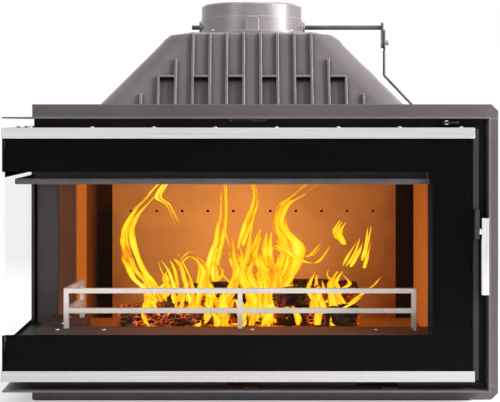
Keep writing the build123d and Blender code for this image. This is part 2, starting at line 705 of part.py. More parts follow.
def damper_rod():
    pin_z = SHAFT_Z - CRANK_THROW
    x0 = SHAFT_RIGHT + CRANK_T + LINK_GAP
    x_mid = x0 + LINK_T / 2
    slot_half = PIN_R + LINK_SLOT_SIDE
    slot_high = pin_z + LINK_SLOT_UP + slot_half
    strap_top = slot_high + LINK_MARGIN
    strap = block(x0, x0 + LINK_T, -LINK_W / 2, LINK_W / 2, LINK_BOTTOM, strap_top)
    strap = fillet(strap.edges().filter_by(Axis.X), LINK_W / 2 - 0.5)
    slot = block(x0, x0 + LINK_T, -slot_half, slot_half, pin_z, slot_high - slot_half)
    slot += rod(x0, 0, pin_z, slot_half, LINK_T, "X")
    slot += rod(x0, 0, slot_high - slot_half, slot_half, LINK_T, "X")
    path = FilletPolyline(
        (x_mid, 0, LINK_BOTTOM),
        (x_mid, 0, ROD_BEND_Z),
        (ROD_X, 0, ROD_Z),
        (ROD_X, KNOB_FRONT + KNOB_LEN, ROD_Z),
        radius=ROD_BEND_R,
    )
    start = Plane(path @ 0, z_dir=path % 0)
    wire = sweep(start * Circle(ROD_R), path=path)
    return (strap - slot) + wire


def damper_knob():
    half = KNOB_W / 2
    shape = block(ROD_X - half, ROD_X + half, KNOB_FRONT, KNOB_FRONT + KNOB_LEN,
                  ROD_Z - KNOB_T / 2, ROD_Z + KNOB_T / 2)
    return fillet(shape.edges().filter_by(Axis.Z), KNOB_T)


# Steel rim

def flange_run(x0, x1, z0, z1):
    """A stretch of the upright flange across the front."""
    return block(x0, x1, FLANGE_FRONT, BODY_FRONT, z0, z1)


def rim_top():
    z0 = RIM_HIGH
    z1 = RIM_HIGH + RIM_PLATE
    top = RIM_HIGH + RIM_LEG
    reach = RIM_REACH + RIM_PLATE
    shape = corner_plan(GLASS_LEFT, GLASS_FRONT, reach, reach, RIM_RIGHT_OUT, RIM_REAR_Y, z0, z1)
    shape += flange_run(FLANGE_LEFT, FLANGE_RIGHT, z0, top)
    shape += block(FLANGE_LEFT, BODY_LEFT, FLANGE_FRONT, RIM_REAR_Y, z0, top)
    return shape - corner_cut(top, -1)


def corner_cut(z, down):
    """The chamfer on the flange's right corners."""
    points = [(FLANGE_RIGHT, z), (FLANGE_RIGHT - RIM_CHAMFER, z), (FLANGE_RIGHT, z + down * RIM_CHAMFER)]
    face = Plane((0, BODY_FRONT, 0), x_dir=(1, 0, 0), z_dir=(0, -1, 0)) * make_face(Polyline(*points, close=True))
    return extrude(face, RIM_PLATE)


def rim_bottom():
    z0 = RIM_LOW - RIM_PLATE
    z1 = RIM_LOW
    low = RIM_LOW - RIM_LEG
    reach = RIM_REACH + RIM_PLATE
    shape = corner_plan(GLASS_LEFT, GLASS_FRONT, reach, reach, RIM_RIGHT_OUT, JAMB_Y, z0, z1)
    shape += block(GLASS_LEFT, REAR_LEFT, JAMB_Y, RIM_REAR_Y, z0, z1)
    shape += flange_run(FLANGE_LEFT, FLANGE_RIGHT, low, z1)
    shape += block(FLANGE_LEFT, BODY_LEFT, FLANGE_FRONT, JAMB_Y, low, z1)
    shape += flange_run(BODY_LEFT, RIM_RIGHT_IN, z1, z1 + RIM_BEAD)
    for x, width, travel in LOW_TABS:
        shape -= tab_slot(x, width, travel, FLANGE_FRONT, BODY_FRONT, z1 + SLIDE_GAP)
    return shape - corner_cut(low, 1)


def rim_right():
    shape = block(RIM_RIGHT_IN, RIM_RIGHT_OUT, GLASS_FRONT, BODY_FRONT, RIM_LOW, RIM_HIGH)
    return shape + flange_run(RIM_RIGHT_IN, FLANGE_RIGHT, RIM_LOW, RIM_HIGH)


# Lining and inner parts

def back_liner(x0, x1, side):
    shape = block(x0, x1, BACK_LINER_Y, BACK_LINER_Y + LINER_T, HEARTH_TOP, LINER_TOP)
    for i in range(AIR_HOLE_COUNT):
        x = side * (AIR_HOLE_FIRST + i * AIR_HOLE_PITCH)
        shape -= rod(x, BACK_LINER_Y, AIR_HOLE_Z, AIR_HOLE_R, LINER_T, "Y")
    return shape


def side_liner_left():
    y0 = JAMB_Y + CAST
    rear = BACK_LINER_Y
    wall = REAR_LEFT + CAST
    points = [
        (wall, y0),
        (LEFT_LINER_FRONT_X, y0),
        (LEFT_LINER_REAR_X, rear),
        (LEFT_LINER_REAR_X + LEFT_RETURN_W, rear),
        (LEFT_LINER_REAR_X + LEFT_RETURN_W, rear + LEFT_LINER_T),
        (LEFT_LINER_REAR_X - LEFT_LINER_T, rear + LEFT_LINER_T),
        (LEFT_LINER_FRONT_X - LEFT_LINER_T, y0 + LEFT_LINER_FRONT),
        (wall, y0 + LEFT_LINER_FRONT),
    ]
    return plan(points, HEARTH_TOP, LINER_TOP)


def side_liner_right():
    x0 = RIGHT_LINER_X
    return block(x0, x0 + LINER_T, RIGHT_LINER_FRONT, BACK_LINER_Y + RETAINER_SET, HEARTH_TOP, LINER_TOP)


def corner_retainer(x0, x1):
    """A folded steel angle that holds the ends of two liners in a rear corner."""
    y0 = BACK_LINER_Y + RETAINER_SET
    shape = block(x0, x1, y0, y0 + RETAINER_T, HEARTH_TOP, LINER_TOP)
    middle = (x0 + x1) / 2
    half = RETAINER_T / 2
    return shape + block(middle - half, middle + half, y0, BODY_BACK - CAST, HEARTH_TOP, LINER_TOP)


def air_deflector():
    x0 = BODY_LEFT - DEFLECTOR_OUT
    y0 = BODY_FRONT - DEFLECTOR_OUT
    t = DEFLECTOR_T
    low = DEFLECTOR_TOP - DEFLECTOR_LIP
    x1 = DEFLECTOR_RIGHT
    end = JAMB_Y - t
    shape = corner_plan(x0, y0, DEFLECTOR_W, DEFLECTOR_W, x1, end, DEFLECTOR_TOP - t, DEFLECTOR_TOP)
    shape += corner_plan(x0, y0, t, t, x1, end, low, DEFLECTOR_TOP)
    return shape + corner_plan(BODY_LEFT, BODY_FRONT, t, t, x1, end, DEFLECTOR_TOP, OPENING_TOP)


def baffle_bars():
    """Two bars across the firebox that carry the baffle."""
    bars = []
    inner_left = LEFT_LINER_FRONT_X - LEFT_LINER_T
    for y in (JAMB_Y + CAST + LEFT_LINER_FRONT, BACK_LINER_Y - BAFFLE_BAR):
        bars.append(block(inner_left, RIGHT_LINER_X + LINER_T, y, y + BAFFLE_BAR,
                          LINER_TOP, LINER_TOP + BAFFLE_BAR))
    return group(bars)


def baffle_plate():
    z0 = LINER_TOP + BAFFLE_BAR
    x0 = BODY_LEFT + CAST + BAFFLE_SIDE_GAP
    x1 = BODY_RIGHT - CAST - BAFFLE_SIDE_GAP
    return block(x0, x1, BAFFLE_FRONT, BODY_BACK - CAST, z0, z0 + BAFFLE_T)


def grate_window(inset, z0, z1):
    frame = RectangleRounded(GRATE_W - 2 * inset, GRATE_D - 2 * inset, GRATE_BORDER)
    return Pos(0, GRATE_Y, z0) * extrude(frame, z1 - z0)


def hearth_plate():
    low = HEARTH_TOP - HEARTH_T
    inner = body_outline(CAST)
    points = [(x if x > REAR_LEFT + CAST else x, y) for x, y in inner]
    shape = plan(points, low, HEARTH_TOP)
    half_t = HEARTH_T / 2
    shape -= grate_window(GRATE_REBATE, low, HEARTH_TOP)
    return shape - grate_window(0, HEARTH_TOP - half_t, HEARTH_TOP)


def grate():
    half_t = HEARTH_T / 2
    shape = grate_window(GRATE_GAP, HEARTH_TOP - half_t, HEARTH_TOP)
    shape += grate_window(GRATE_REBATE + GRATE_GAP, HEARTH_TOP - HEARTH_T, HEARTH_TOP)
    slot_len = GRATE_D - 2 * (GRATE_BORDER + GRATE_REBATE)
    span = GRATE_W - 2 * (GRATE_BORDER + GRATE_REBATE)
    pitch = (span - GRATE_SLOT_W) / (GRATE_SLOTS - 1)
    for i in range(GRATE_SLOTS):
        x = (i - (GRATE_SLOTS - 1) / 2) * pitch
        slot = SlotOverall(slot_len, GRATE_SLOT_W, rotation=90)
        shape -= Pos(x, GRATE_Y, HEARTH_TOP - HEARTH_T) * extrude(slot, HEARTH_T)
    return shape


def split_log(place, z, height):
    """A split log that lies flat: a wedge with cut corners, along X before it is turned."""
    x, y, length, width, turn = place
    half = width / 2
    points = [
        (-half * 0.75, 0),
        (half * 0.7, 0),
        (half, height * 0.35),
        (half * 0.8, height * 0.8),
        (half * 0.35, height),
        (-half * 0.4, height),
        (-half * 0.95, height * 0.6),
        (-half, height * 0.2),
    ]
    section = Plane((-length / 2, 0, 0), x_dir=(0, 1, 0), z_dir=(1, 0, 0))
    wood = extrude(section * make_face(Polyline(*points, close=True)), length)
    return Pos(x, y, z) * Rot(0, 0, turn) * wood


def log_load():
    """A heap of embers on the grate, with split logs on it in two layers."""
    bed_z = HEARTH_TOP
    half_w = GRATE_W / 2 + BED_MARGIN
    half_d = GRATE_D / 2 + BED_MARGIN
    low = Pos(0, GRATE_Y, bed_z) * Rectangle(2 * half_w, 2 * half_d)
    high = Pos(0, GRATE_Y, bed_z + BED_H) * Rectangle(2 * (half_w - BED_SLOPE), 2 * (half_d - BED_SLOPE))
    solids = [loft(Sketch() + [low, high])]
    log_z = bed_z + BED_H
    for place in LOG_LOW:
        solids.append(split_log(place, log_z, LOG_LOW_H))
    for place in LOG_HIGH:
        solids.append(split_log(place, log_z + LOG_LOW_H, LOG_HIGH_H))
    return group(solids)


def ash_pan():
    half_w = GRATE_W / 2 + PAN_MARGIN
    half_d = GRATE_D / 2 + PAN_MARGIN
    shape = block(-half_w, half_w, GRATE_Y - half_d, GRATE_Y + half_d, BASE_H, BASE_H + PAN_H)
    half_w -= PAN_WALL
    half_d -= PAN_WALL
    return shape - block(-half_w, half_w, GRATE_Y - half_d, GRATE_Y + half_d,
                         BASE_H + PAN_WALL, BASE_H + PAN_H)


def air_duct():
    """The duct on the deck that feeds air down over the glass."""
    half = DUCT_LEN / 2
    y0 = BODY_FRONT + CAST
    y1 = y0 + DUCT_DEPTH
    z1 = WASH_Z - SLIDE_GAP
    t = DUCT_WALL
    shape = block(-half, half, y0, y1, DECK_TOP, z1)
    return shape - block(-half + t, half - t, y0 + t, y1 - t, DECK_TOP, z1 - t)


def small_screw(x, y, z):
    """A low round head that stands on a level face."""
    head = Cylinder(SMALL_SCREW_R, SMALL_SCREW_H, align=(Align.CENTER, Align.CENTER, Align.MIN))
    head = fillet(head.edges().group_by(Axis.Z)[-1], SMALL_SCREW_H * 0.8)
    return Pos(x, y, z) * head


def ledge_screws():
    front_y = BODY_FRONT + LEDGE_FRONT_W / 2
    left_x = BODY_LEFT + LEDGE_LEFT_W / 2
    step = LEDGE_LEFT_W
    places = [(left_x, front_y), (left_x, front_y + step), (left_x, front_y + 2 * step)]
    places += [(x, front_y) for x in (GUARD_LEFT + step, 0.0, GUARD_RIGHT - step)]
    places.append((OPENING_RIGHT - step / 4, front_y))
    return group([small_screw(x, y, SILL_TOP) for x, y in places])


def collar_screws():
    radius = (FLUE_R + FLUE_STEP + FLUE_FLANGE_R) / 2
    z = HOOD_TOP + FLUE_FLANGE_T
    side = radius * 0.7071
    places = [(side, side), (-side, side), (-side, -side), (side, -side)]
    return group([small_screw(x, y, z) for x, y in places])


# Air controls

def air_slide(x, width, travel, z):
    """A slotted strip behind the front with a tab that comes out through it."""
    half = width / 2
    y0 = BODY_FRONT + CAST + SLIDE_GAP
    shape = block(x - half, x + half, TAB_FRONT, y0, z, z + TAB_T)
    shape = fillet(shape.edges().filter_by(Axis.Z).group_by(Axis.Y)[0], TAB_T)
    return shape + block(x - half - SLIDE_SIDE, x + half + SLIDE_SIDE, y0, y0 + SLIDE_DEPTH, z, z + TAB_T)


# Log guard

def log_guard():
    bar = GUARD_BAR
    half = bar / 2
    z0 = SILL_TOP
    top = z0 + GUARD_H
    y0 = GUARD_Y - half
    y1 = GUARD_Y + half
    shape = block(GUARD_LEFT - half, GUARD_RIGHT + half, y0, y1, top - bar, top)
    shape += block(GUARD_LEFT - half, GUARD_RIGHT + half, y0, y1, z0 + GUARD_LOW_RAIL,
                   z0 + GUARD_LOW_RAIL + bar)
    for x in (GUARD_LEFT, GUARD_MID, GUARD_RIGHT):
        shape += block(x - half, x + half, y0, y1, z0, top)
    shape += block(GUARD_RETURN_X - half, GUARD_RETURN_X + half, GUARD_RETURN_Y - half,
                   GUARD_RETURN_Y + half, z0, top)
    points = [
        (GUARD_LEFT - half, y1 - half),
        (GUARD_LEFT + half, y1 - half),
        (GUARD_RETURN_X + half, GUARD_RETURN_Y),
        (GUARD_RETURN_X - half, GUARD_RETURN_Y),
    ]
    shape += plan(points, top - bar, top)
    return shape + plan(points, z0 + GUARD_LOW_RAIL, z0 + GUARD_LOW_RAIL + bar)


# Door

def rail(z0, z1):
    """A hollow rail behind the front and side glass."""
    wall = RAIL_WALL
    shape = corner_plan(RAIL_OUTER, RAIL_FRONT, RAIL_DEPTH, RAIL_DEPTH, DOOR_RIGHT, RAIL_REAR_Y, z0, z1)
    hollow = corner_plan(RAIL_OUTER, RAIL_FRONT, RAIL_DEPTH - wall, RAIL_DEPTH - wall,
                         DOOR_RIGHT - STILE_EDGE, RAIL_REAR_Y - wall, z0 + wall, z1 - wall)
    return shape - hollow


def door_right_stile():
    z0 = LOW_RAIL_TOP
    z1 = HIGH_RAIL_LOW
    shape = block(STILE_LEFT, DOOR_RIGHT, RAIL_FRONT, RAIL_BACK, z0, z1)
    return shape - block(STILE_LEFT + RAIL_WALL, DOOR_RIGHT - STILE_EDGE, RAIL_FRONT,
                         RAIL_BACK - RAIL_WALL, z0, z1)


def knuckle(z):
    """A hinge knuckle on the pin's axis."""
    return rod(HINGE_X, HINGE_Y, z, HINGE_R, HINGE_H)


def hinge_zs():
    return (HINGE_LOW_Z, HINGE_HIGH_Z)


def door_rear_stile():
    x0 = RAIL_OUTER
    x1 = RAIL_OUTER + REAR_STILE_T
    shape = block(x0, x1, RAIL_REAR_Y, REAR_STILE_END, GLASS_LOW, GLASS_HIGH)
    for z in hinge_zs():
        z0 = z + HINGE_H + HINGE_LIFT
        shape += block(x0, x1, REAR_STILE_END, HINGE_Y, z0, z0 + HINGE_H)
        shape += knuckle(z0)
        shape -= rod(HINGE_X, HINGE_Y, z0, HINGE_PIN_R + RUN_GAP, HINGE_H)
    return shape


def hinge_brackets():
    brackets = []
    for z in hinge_zs():
        shape = knuckle(z) + block(HINGE_X, REAR_LEFT, HINGE_Y - HINGE_R, HINGE_Y + HINGE_R, z, z + HINGE_H)
        brackets.append(shape - rod(HINGE_X, HINGE_Y, z, HINGE_PIN_R, HINGE_H))
    return group(brackets)


def hinge_pins():
    length = 2 * HINGE_H + HINGE_LIFT + HINGE_PIN_PROUD
    return group([rod(HINGE_X, HINGE_Y, z, HINGE_PIN_R, length) for z in hinge_zs()])


def front_glass():
    return block(GLASS_LEFT, GLASS_RIGHT, GLASS_FRONT, GLASS_BACK, GLASS_LOW, GLASS_HIGH)


def side_glass():
    return block(GLASS_LEFT, GLASS_RIGHT_FACE, GLASS_BACK, SIDE_GLASS_REAR, GLASS_LOW, GLASS_HIGH)


def front_print():
    x0 = RAIL_OUTER
    y0 = GLASS_BACK
    y1 = GLASS_BACK + PRINT_T
    shape = block(x0, GLASS_RIGHT, y0, y1, PRINT_TOP_EDGE, GLASS_HIGH)
    shape += block(x0, GLASS_RIGHT, y0, y1, GLASS_LOW, PRINT_LOW_EDGE)
    return shape + block(PRINT_RIGHT_EDGE, GLASS_RIGHT, y0, y1, PRINT_LOW_EDGE, PRINT_TOP_EDGE)


def side_print():
    x0 = GLASS_RIGHT_FACE
    x1 = x0 + PRINT_T
    y0 = GLASS_BACK
    shape = block(x0, x1, y0, SIDE_GLASS_REAR, SIDE_PRINT_TOP_EDGE, GLASS_HIGH)
    shape += block(x0, x1, y0, SIDE_GLASS_REAR, GLASS_LOW, SIDE_PRINT_LOW_EDGE)
    return shape + block(x0, x1, SIDE_PRINT_REAR, SIDE_GLASS_REAR, SIDE_PRINT_LOW_EDGE, SIDE_PRINT_TOP_EDGE)


def trim_strip(z0):
    t = STRIP_T
    return corner_plan(GLASS_LEFT - t, GLASS_FRONT - t, t, t, STRIP_RIGHT, REAR_STILE_END, z0, z0 + STRIP_H)


def trim_screws():
    heads = []
    y = GLASS_BACK + TRIM_SCREW_IN
    x = GLASS_LEFT + TRIM_SCREW_FIRST
    for i in range(TRIM_SCREW_COUNT):
        heads.append((x + i * TRIM_SCREW_PITCH, y))
    for i in range(SIDE_SCREW_COUNT):
        heads.append((GLASS_RIGHT_FACE + TRIM_SCREW_IN, GLASS_FRONT + SIDE_SCREW_FIRST + i * SIDE_SCREW_PITCH))
    screws = []
    for x, y in heads:
        head = Cylinder(TRIM_SCREW_R, TRIM_SCREW_H, align=(Align.CENTER, Align.CENTER, Align.MIN))
        head = fillet(head.edges().group_by(Axis.Z)[-1], TRIM_SCREW_H / 3)
        screws.append(Pos(x, y, GLASS_HIGH) * head)
    return group(screws)


def glass_clips():
    """Small clips under and over the rails that hold the glass from behind."""
    clips = []
    y0 = RAIL_FRONT
    step = TRIM_SCREW_PITCH * 2
    first = GLASS_LEFT + TRIM_SCREW_FIRST + TRIM_SCREW_PITCH / 2
    for i in range(3):
        x = first + i * step
        for z in (HIGH_RAIL_LOW - CLIP_H, LOW_RAIL_TOP):
            clips.append(block(x - CLIP_W / 2, x + CLIP_W / 2, y0, y0 + CLIP_REACH, z, z + CLIP_H))
    return group(clips)


def door_seal():
    """The rope seal between the door's frame and the body, as four runs."""
    gap = SEAL_GAP
    y0 = RAIL_BACK
    y1 = BODY_FRONT - gap
    x0 = RAIL_INNER
    x1 = BODY_LEFT - gap
    high = HIGH_RAIL_LOW + SEAL_INSET
    low = LOW_RAIL_TOP - SEAL_INSET - SEAL_W
    runs = []
    for z in (low, high):
        runs.append(block(x0, SEAL_RIGHT_X + SEAL_W, y0, y1, z, z + SEAL_W))
        runs.append(block(x0, x1, y0 + (y1 - y0), RAIL_REAR_Y, z, z + SEAL_W))
    runs.append(block(SEAL_RIGHT_X, SEAL_RIGHT_X + SEAL_W, y0, y1, low + SEAL_W, high))
    stile = RAIL_OUTER + REAR_STILE_T
    runs.append(block(stile, REAR_LEFT - gap, SIDE_GLASS_REAR - 2 * SEAL_W, SIDE_GLASS_REAR - SEAL_W,
                      low, high + SEAL_W))
    front = joined(runs[:-1])
    return group([front, runs[-1]])


# Handle and latch

def handle_bracket():
    x1 = GLASS_RIGHT + BRACKET_W
    shape = block(GLASS_RIGHT, x1, RAIL_FRONT - BRACKET_T, RAIL_FRONT,
                  HANDLE_Z - BRACKET_DOWN, HANDLE_Z + BRACKET_UP)
    front = shape.edges().filter_by(Axis.X).group_by(Axis.Y)[0]
    shape = fillet(front, GRIP_FILLET)
    return shape - rod(GLASS_RIGHT, HANDLE_Y, HANDLE_Z, HANDLE_PIN_R + RUN_GAP, BRACKET_W, "X")


def handle_pin():
    return rod(GLASS_RIGHT, HANDLE_Y, HANDLE_Z, HANDLE_PIN_R, GRIP_LEFT + GRIP_W - GLASS_RIGHT, "X")


def handle_grip():
    half = GRIP_T / 2
    shape = block(GRIP_LEFT, GRIP_LEFT + GRIP_W, HANDLE_Y - half, HANDLE_Y + half,
                  HANDLE_Z - GRIP_DOWN, HANDLE_Z + GRIP_UP)
    shape = fillet(shape.edges().filter_by(Axis.Z), GRIP_FILLET)
    start = GLASS_RIGHT + BRACKET_W + LINK_GAP
    shape += rod(start, HANDLE_Y, HANDLE_Z, WASHER_R, GRIP_LEFT - start, "X")
    return shape - rod(start, HANDLE_Y, HANDLE_Z, HANDLE_PIN_R, GRIP_W + GRIP_LEFT - start, "X")


def latch_tongue():
    x0 = GRIP_LEFT
    y0 = HANDLE_Y + GRIP_T / 2
    top = latch_top()
    shape = block(x0, x0 + TONGUE_T, y0, y0 + TONGUE_LEN, top - TONGUE_H, top)
    return fillet(shape.edges().filter_by(Axis.X).group_by(Axis.Y)[-1], TONGUE_H / 3)


def latch_top():
    return HANDLE_Z + TONGUE_H / 2


def strike():
    """The plate, ear and roller that the handle's tongue runs under."""
    x0 = RIM_RIGHT_IN - STRIKE_FOOT
    x1 = RIM_RIGHT_IN
    z0 = HANDLE_Z - STRIKE_H / 2
    z1 = HANDLE_Z + STRIKE_H / 2
    y0 = FLANGE_FRONT
    shape = block(x0, x1, y0 - STRIKE_T, y0, z0, z1)
    ear = block(STRIKE_EAR_X, STRIKE_EAR_X + STRIKE_T, y0 - STRIKE_REACH - STRIKE_T, y0 - STRIKE_T, z0, z1)
    shape += fillet(ear.edges().filter_by(Axis.X).group_by(Axis.Y)[0], STRIKE_T * 2)
    roller_z = latch_top() + ROLLER_GAP + ROLLER_R
    roller = rod(GRIP_LEFT, y0 - ROLLER_SET, roller_z, ROLLER_R, STRIKE_EAR_X - GRIP_LEFT, "X")
    return shape + roller


NODES = {
    "base_casting": base_casting(),
    "inlet_spigot": inlet_spigot(),
    "sill_casting": sill_casting(),
    "front_casting": front_casting(),
    "left_side_casting": left_side_casting(),
    "right_side_casting": right_side_casting(),
    "back_casting": back_casting(),
    "deck_casting": deck_casting(),
    "hood_casting": hood_casting(),
    "hood_bolts": hood_bolts(),
    "flue_collar": flue_collar(),
    "collar_screws": collar_screws(),
    "rim_top": rim_top(),
    "rim_bottom": rim_bottom(),
    "rim_right": rim_right(),
    "back_liner_left": back_liner(BACK_LINER_LEFT, 0, -1),
    "back_liner_right": back_liner(0, BACK_LINER_RIGHT, 1),
    "side_liner_left": side_liner_left(),
    "side_liner_right": side_liner_right(),
    "corner_retainer_left": corner_retainer(LEFT_LINER_REAR_X + LEFT_RETURN_W, BACK_LINER_LEFT),
    "corner_retainer_right": corner_retainer(BACK_LINER_RIGHT, RIGHT_LINER_X),
    "air_deflector": air_deflector(),
    "baffle_bars": baffle_bars(),
    "baffle_plate": baffle_plate(),
    "hearth_plate": hearth_plate(),
    "grate": grate(),
    "ash_pan": ash_pan(),
    "log_load": log_load(),
    "air_duct": air_duct(),
    "ledge_screws": ledge_screws(),
    "hinge_brackets": hinge_brackets(),
    "hinge_pins": hinge_pins(),
    "strike": strike(),
    "log_guard": log_guard(),
    "door_top_rail": rail(HIGH_RAIL_LOW, GLASS_HIGH),
    "door_bottom_rail": rail(GLASS_LOW, LOW_RAIL_TOP),
    "door_right_stile": door_right_stile(),
    "door_rear_stile": door_rear_stile(),
    "front_glass": front_glass(),
    "side_glass": side_glass(),
    "front_print": front_print(),
    "side_print": side_print(),
    "trim_strip_top": trim_strip(DOOR_HIGH - STRIP_H),
    "trim_strip_bottom": trim_strip(DOOR_LOW),
    "trim_screws": trim_screws(),
    "glass_clips": glass_clips(),
    "door_seal": door_seal(),
    "handle_bracket": handle_bracket(),
    "handle_grip": handle_grip(),
    "handle_pin": handle_pin(),
    "latch_tongue": latch_tongue(),
    "damper_shaft": damper_shaft(),
    "damper_plate": damper_plate(),
    "damper_crank": damper_crank(),
    "crank_bolt": crank_bolt(),
    "damper_rod": damper_rod(),
    "damper_knob": damper_knob(),
    "glass_wash_slide": air_slide(WASH_X, TAB_W, WASH_TRAVEL, WASH_Z),
    "primary_air_slide": air_slide(PRIMARY_X, PRIMARY_W, PRIMARY_TRAVEL, BASE_H + SLIDE_GAP),
    "secondary_air_slide": air_slide(SECONDARY_X, TAB_W, SECONDARY_TRAVEL, BASE_H + SLIDE_GAP),
}

os.makedirs("parts", exist_ok=True)
for name, shape in NODES.items():
    export_step(shape, f"parts/{name}.step")
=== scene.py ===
import json
import math
import random

import bpy
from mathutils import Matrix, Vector, noise


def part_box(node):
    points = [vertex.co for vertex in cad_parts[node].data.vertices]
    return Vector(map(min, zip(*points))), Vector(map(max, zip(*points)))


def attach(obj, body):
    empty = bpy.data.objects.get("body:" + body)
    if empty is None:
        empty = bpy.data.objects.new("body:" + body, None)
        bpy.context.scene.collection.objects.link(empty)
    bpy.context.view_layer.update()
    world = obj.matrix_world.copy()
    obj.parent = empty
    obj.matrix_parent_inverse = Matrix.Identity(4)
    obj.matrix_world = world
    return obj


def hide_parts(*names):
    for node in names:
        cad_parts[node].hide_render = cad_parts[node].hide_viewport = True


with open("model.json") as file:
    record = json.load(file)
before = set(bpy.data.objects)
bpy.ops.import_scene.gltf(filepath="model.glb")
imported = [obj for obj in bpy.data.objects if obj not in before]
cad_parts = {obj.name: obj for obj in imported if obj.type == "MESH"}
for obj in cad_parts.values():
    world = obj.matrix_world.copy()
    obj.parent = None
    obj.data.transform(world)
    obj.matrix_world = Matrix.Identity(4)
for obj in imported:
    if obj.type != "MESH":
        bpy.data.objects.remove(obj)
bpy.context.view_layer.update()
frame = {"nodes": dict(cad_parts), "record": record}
scene = bpy.context.scene
nodes = frame["nodes"]


def tone(red, green, blue):
    """A screen colour, 0 to 255, as the linear colour that a shader takes."""
    values = []
    for part in (red, green, blue):
        part = part / 255
        values.append(part / 12.92 if part <= 0.04045 else ((part + 0.055) / 1.055) ** 2.4)
    return (*values, 1.0)


class Graph:
    """A material's node tree, with short calls to build it."""

    def __init__(self, name):
        self.material = bpy.data.materials.new(name)
        self.material.use_nodes = True
        self.tree = self.material.node_tree
        self.tree.nodes.clear()
        self.coords = self.add("ShaderNodeTexCoord").outputs["Object"]

    def add(self, kind, inputs=None, **settings):
        made = self.tree.nodes.new(kind)
        for key, value in settings.items():
            setattr(made, key, value)
        for key, value in (inputs or {}).items():
            socket = made.inputs[key]
            if isinstance(value, bpy.types.NodeSocket):
                self.tree.links.new(value, socket)
            else:
                socket.default_value = value
        return made

    def stretched(self, scale):
        return self.add("ShaderNodeMapping", {"Vector": self.coords, "Scale": scale}).outputs[0]

    def cloud(self, scale, detail=4.0, vector=None, rough=0.55, warp=0.0):
        made = self.add(
            "ShaderNodeTexNoise",
            {
                "Vector": vector or self.coords,
                "Scale": scale,
                "Detail": detail,
                "Roughness": rough,
                "Distortion": warp,
            },
        )
        return made.outputs["Fac"]

    def ramp(self, factor, *stops):
        made = self.add("ShaderNodeValToRGB", {"Fac": factor})
        band = made.color_ramp
        while len(band.elements) < len(stops):
            band.elements.new(0.5)
        for element, (place, colour) in zip(band.elements, stops):
            element.position = place
            element.color = colour
        return made.outputs["Color"]

    def span(self, value, low, high, to_low, to_high):
        made = self.add(
            "ShaderNodeMapRange",
            {"Value": value, "From Min": low, "From Max": high, "To Min": to_low, "To Max": to_high},
        )
        return made.outputs["Result"]

    def sums(self, kind, first, second):
        return self.add("ShaderNodeMath", {0: first, 1: second}, operation=kind).outputs[0]

    def bump(self, height, strength, distance, edge=0.0):
        inputs = {"Height": height, "Strength": strength, "Distance": distance}
        if edge:
            soft = self.add("ShaderNodeBevel", {"Radius": edge}, samples=4)
            inputs["Normal"] = soft.outputs["Normal"]
        return self.add("ShaderNodeBump", inputs).outputs["Normal"]

    def painted_edge_highlight(self, tint, edge_highlight, width):
        """Mixes a lighter colour in where an edge is near, broken up by a cloud: a painted highlight
        along the edges.
        """
        soft = self.add("ShaderNodeBevel", {"Radius": width}, samples=6)
        flat = self.add("ShaderNodeNewGeometry").outputs["Normal"]
        turn = self.add(
            "ShaderNodeVectorMath", {0: soft.outputs["Normal"], 1: flat}, operation="DOT_PRODUCT"
        )
        share = self.span(turn.outputs["Value"], 0.995, 0.86, 0.0, 0.85)
        broken = self.span(self.cloud(40.0, 3.0), 0.35, 0.6, 0.55, 1.0)
        factor = self.sums("MULTIPLY", share, broken)
        mix = self.add("ShaderNodeMix", data_type="RGBA")
        self.tree.links.new(factor, mix.inputs["Factor"])
        self.tree.links.new(tint, mix.inputs[6])
        mix.inputs[7].default_value = edge_highlight
        return mix.outputs[2]

    def painted_hollow_shade(self, tint, depth):
        """Darkens the colour where the surface is walled in: painted shade."""
        opening = self.add("ShaderNodeAmbientOcclusion", {"Distance": depth}, samples=8)
        mix = self.add("ShaderNodeMix", data_type="RGBA", blend_type="MULTIPLY")
        mix.inputs["Factor"].default_value = 1.0
        shade = self.ramp(opening.outputs["AO"], (0.35, tone(40, 37, 38)), (0.90, (1, 1, 1, 1)))
        self.tree.links.new(tint, mix.inputs[6])
        self.tree.links.new(shade, mix.inputs[7])
        return mix.outputs[2]

    def close(self, shader):
        self.add("ShaderNodeOutputMaterial", {"Surface": shader})
        return self.material


def metal_or_paint(
    name,
    dark,
    light,
    rough,
    metallic=0.0,
    scale=14.0,
    stretch=(1, 1, 1),
    grain=700.0,
    bump=0.25,
    depth=0.0002,
    edge=0.0012,
    specular=0.5,
    edge_highlight=None,
    edge_highlight_width=0.0016,
    shade=0.0,
):
    """Paint or metal: a cloudy colour, uneven gloss, a fine grain and softened edges, with painted shade
    in hollows and a painted highlight along the edges where asked.
    """
    graph = Graph(name)
    vector = graph.stretched(stretch)
    tint = graph.ramp(graph.cloud(scale, vector=vector), (0.3, dark), (0.7, light))
    # Painted shade: the colour darkens in hollows and between ribs.
    if shade:
        tint = graph.painted_hollow_shade(tint, shade)
    # Painted highlight: a lighter colour along the edges.
    if edge_highlight:
        tint = graph.painted_edge_highlight(tint, edge_highlight, edge_highlight_width)
    gloss = graph.span(graph.cloud(scale * 2.3, 3.0, vector), 0.3, 0.7, *rough)
    normal = graph.bump(graph.cloud(grain, 2.0, vector), bump, depth, edge)
    shader = graph.add(
        "ShaderNodeBsdfPrincipled",
        {
            "Base Color": tint,
            "Roughness": gloss,
            "Normal": normal,
            "Metallic": metallic,
            "Specular IOR Level": specular,
        },
    )
    return graph.close(shader.outputs[0])


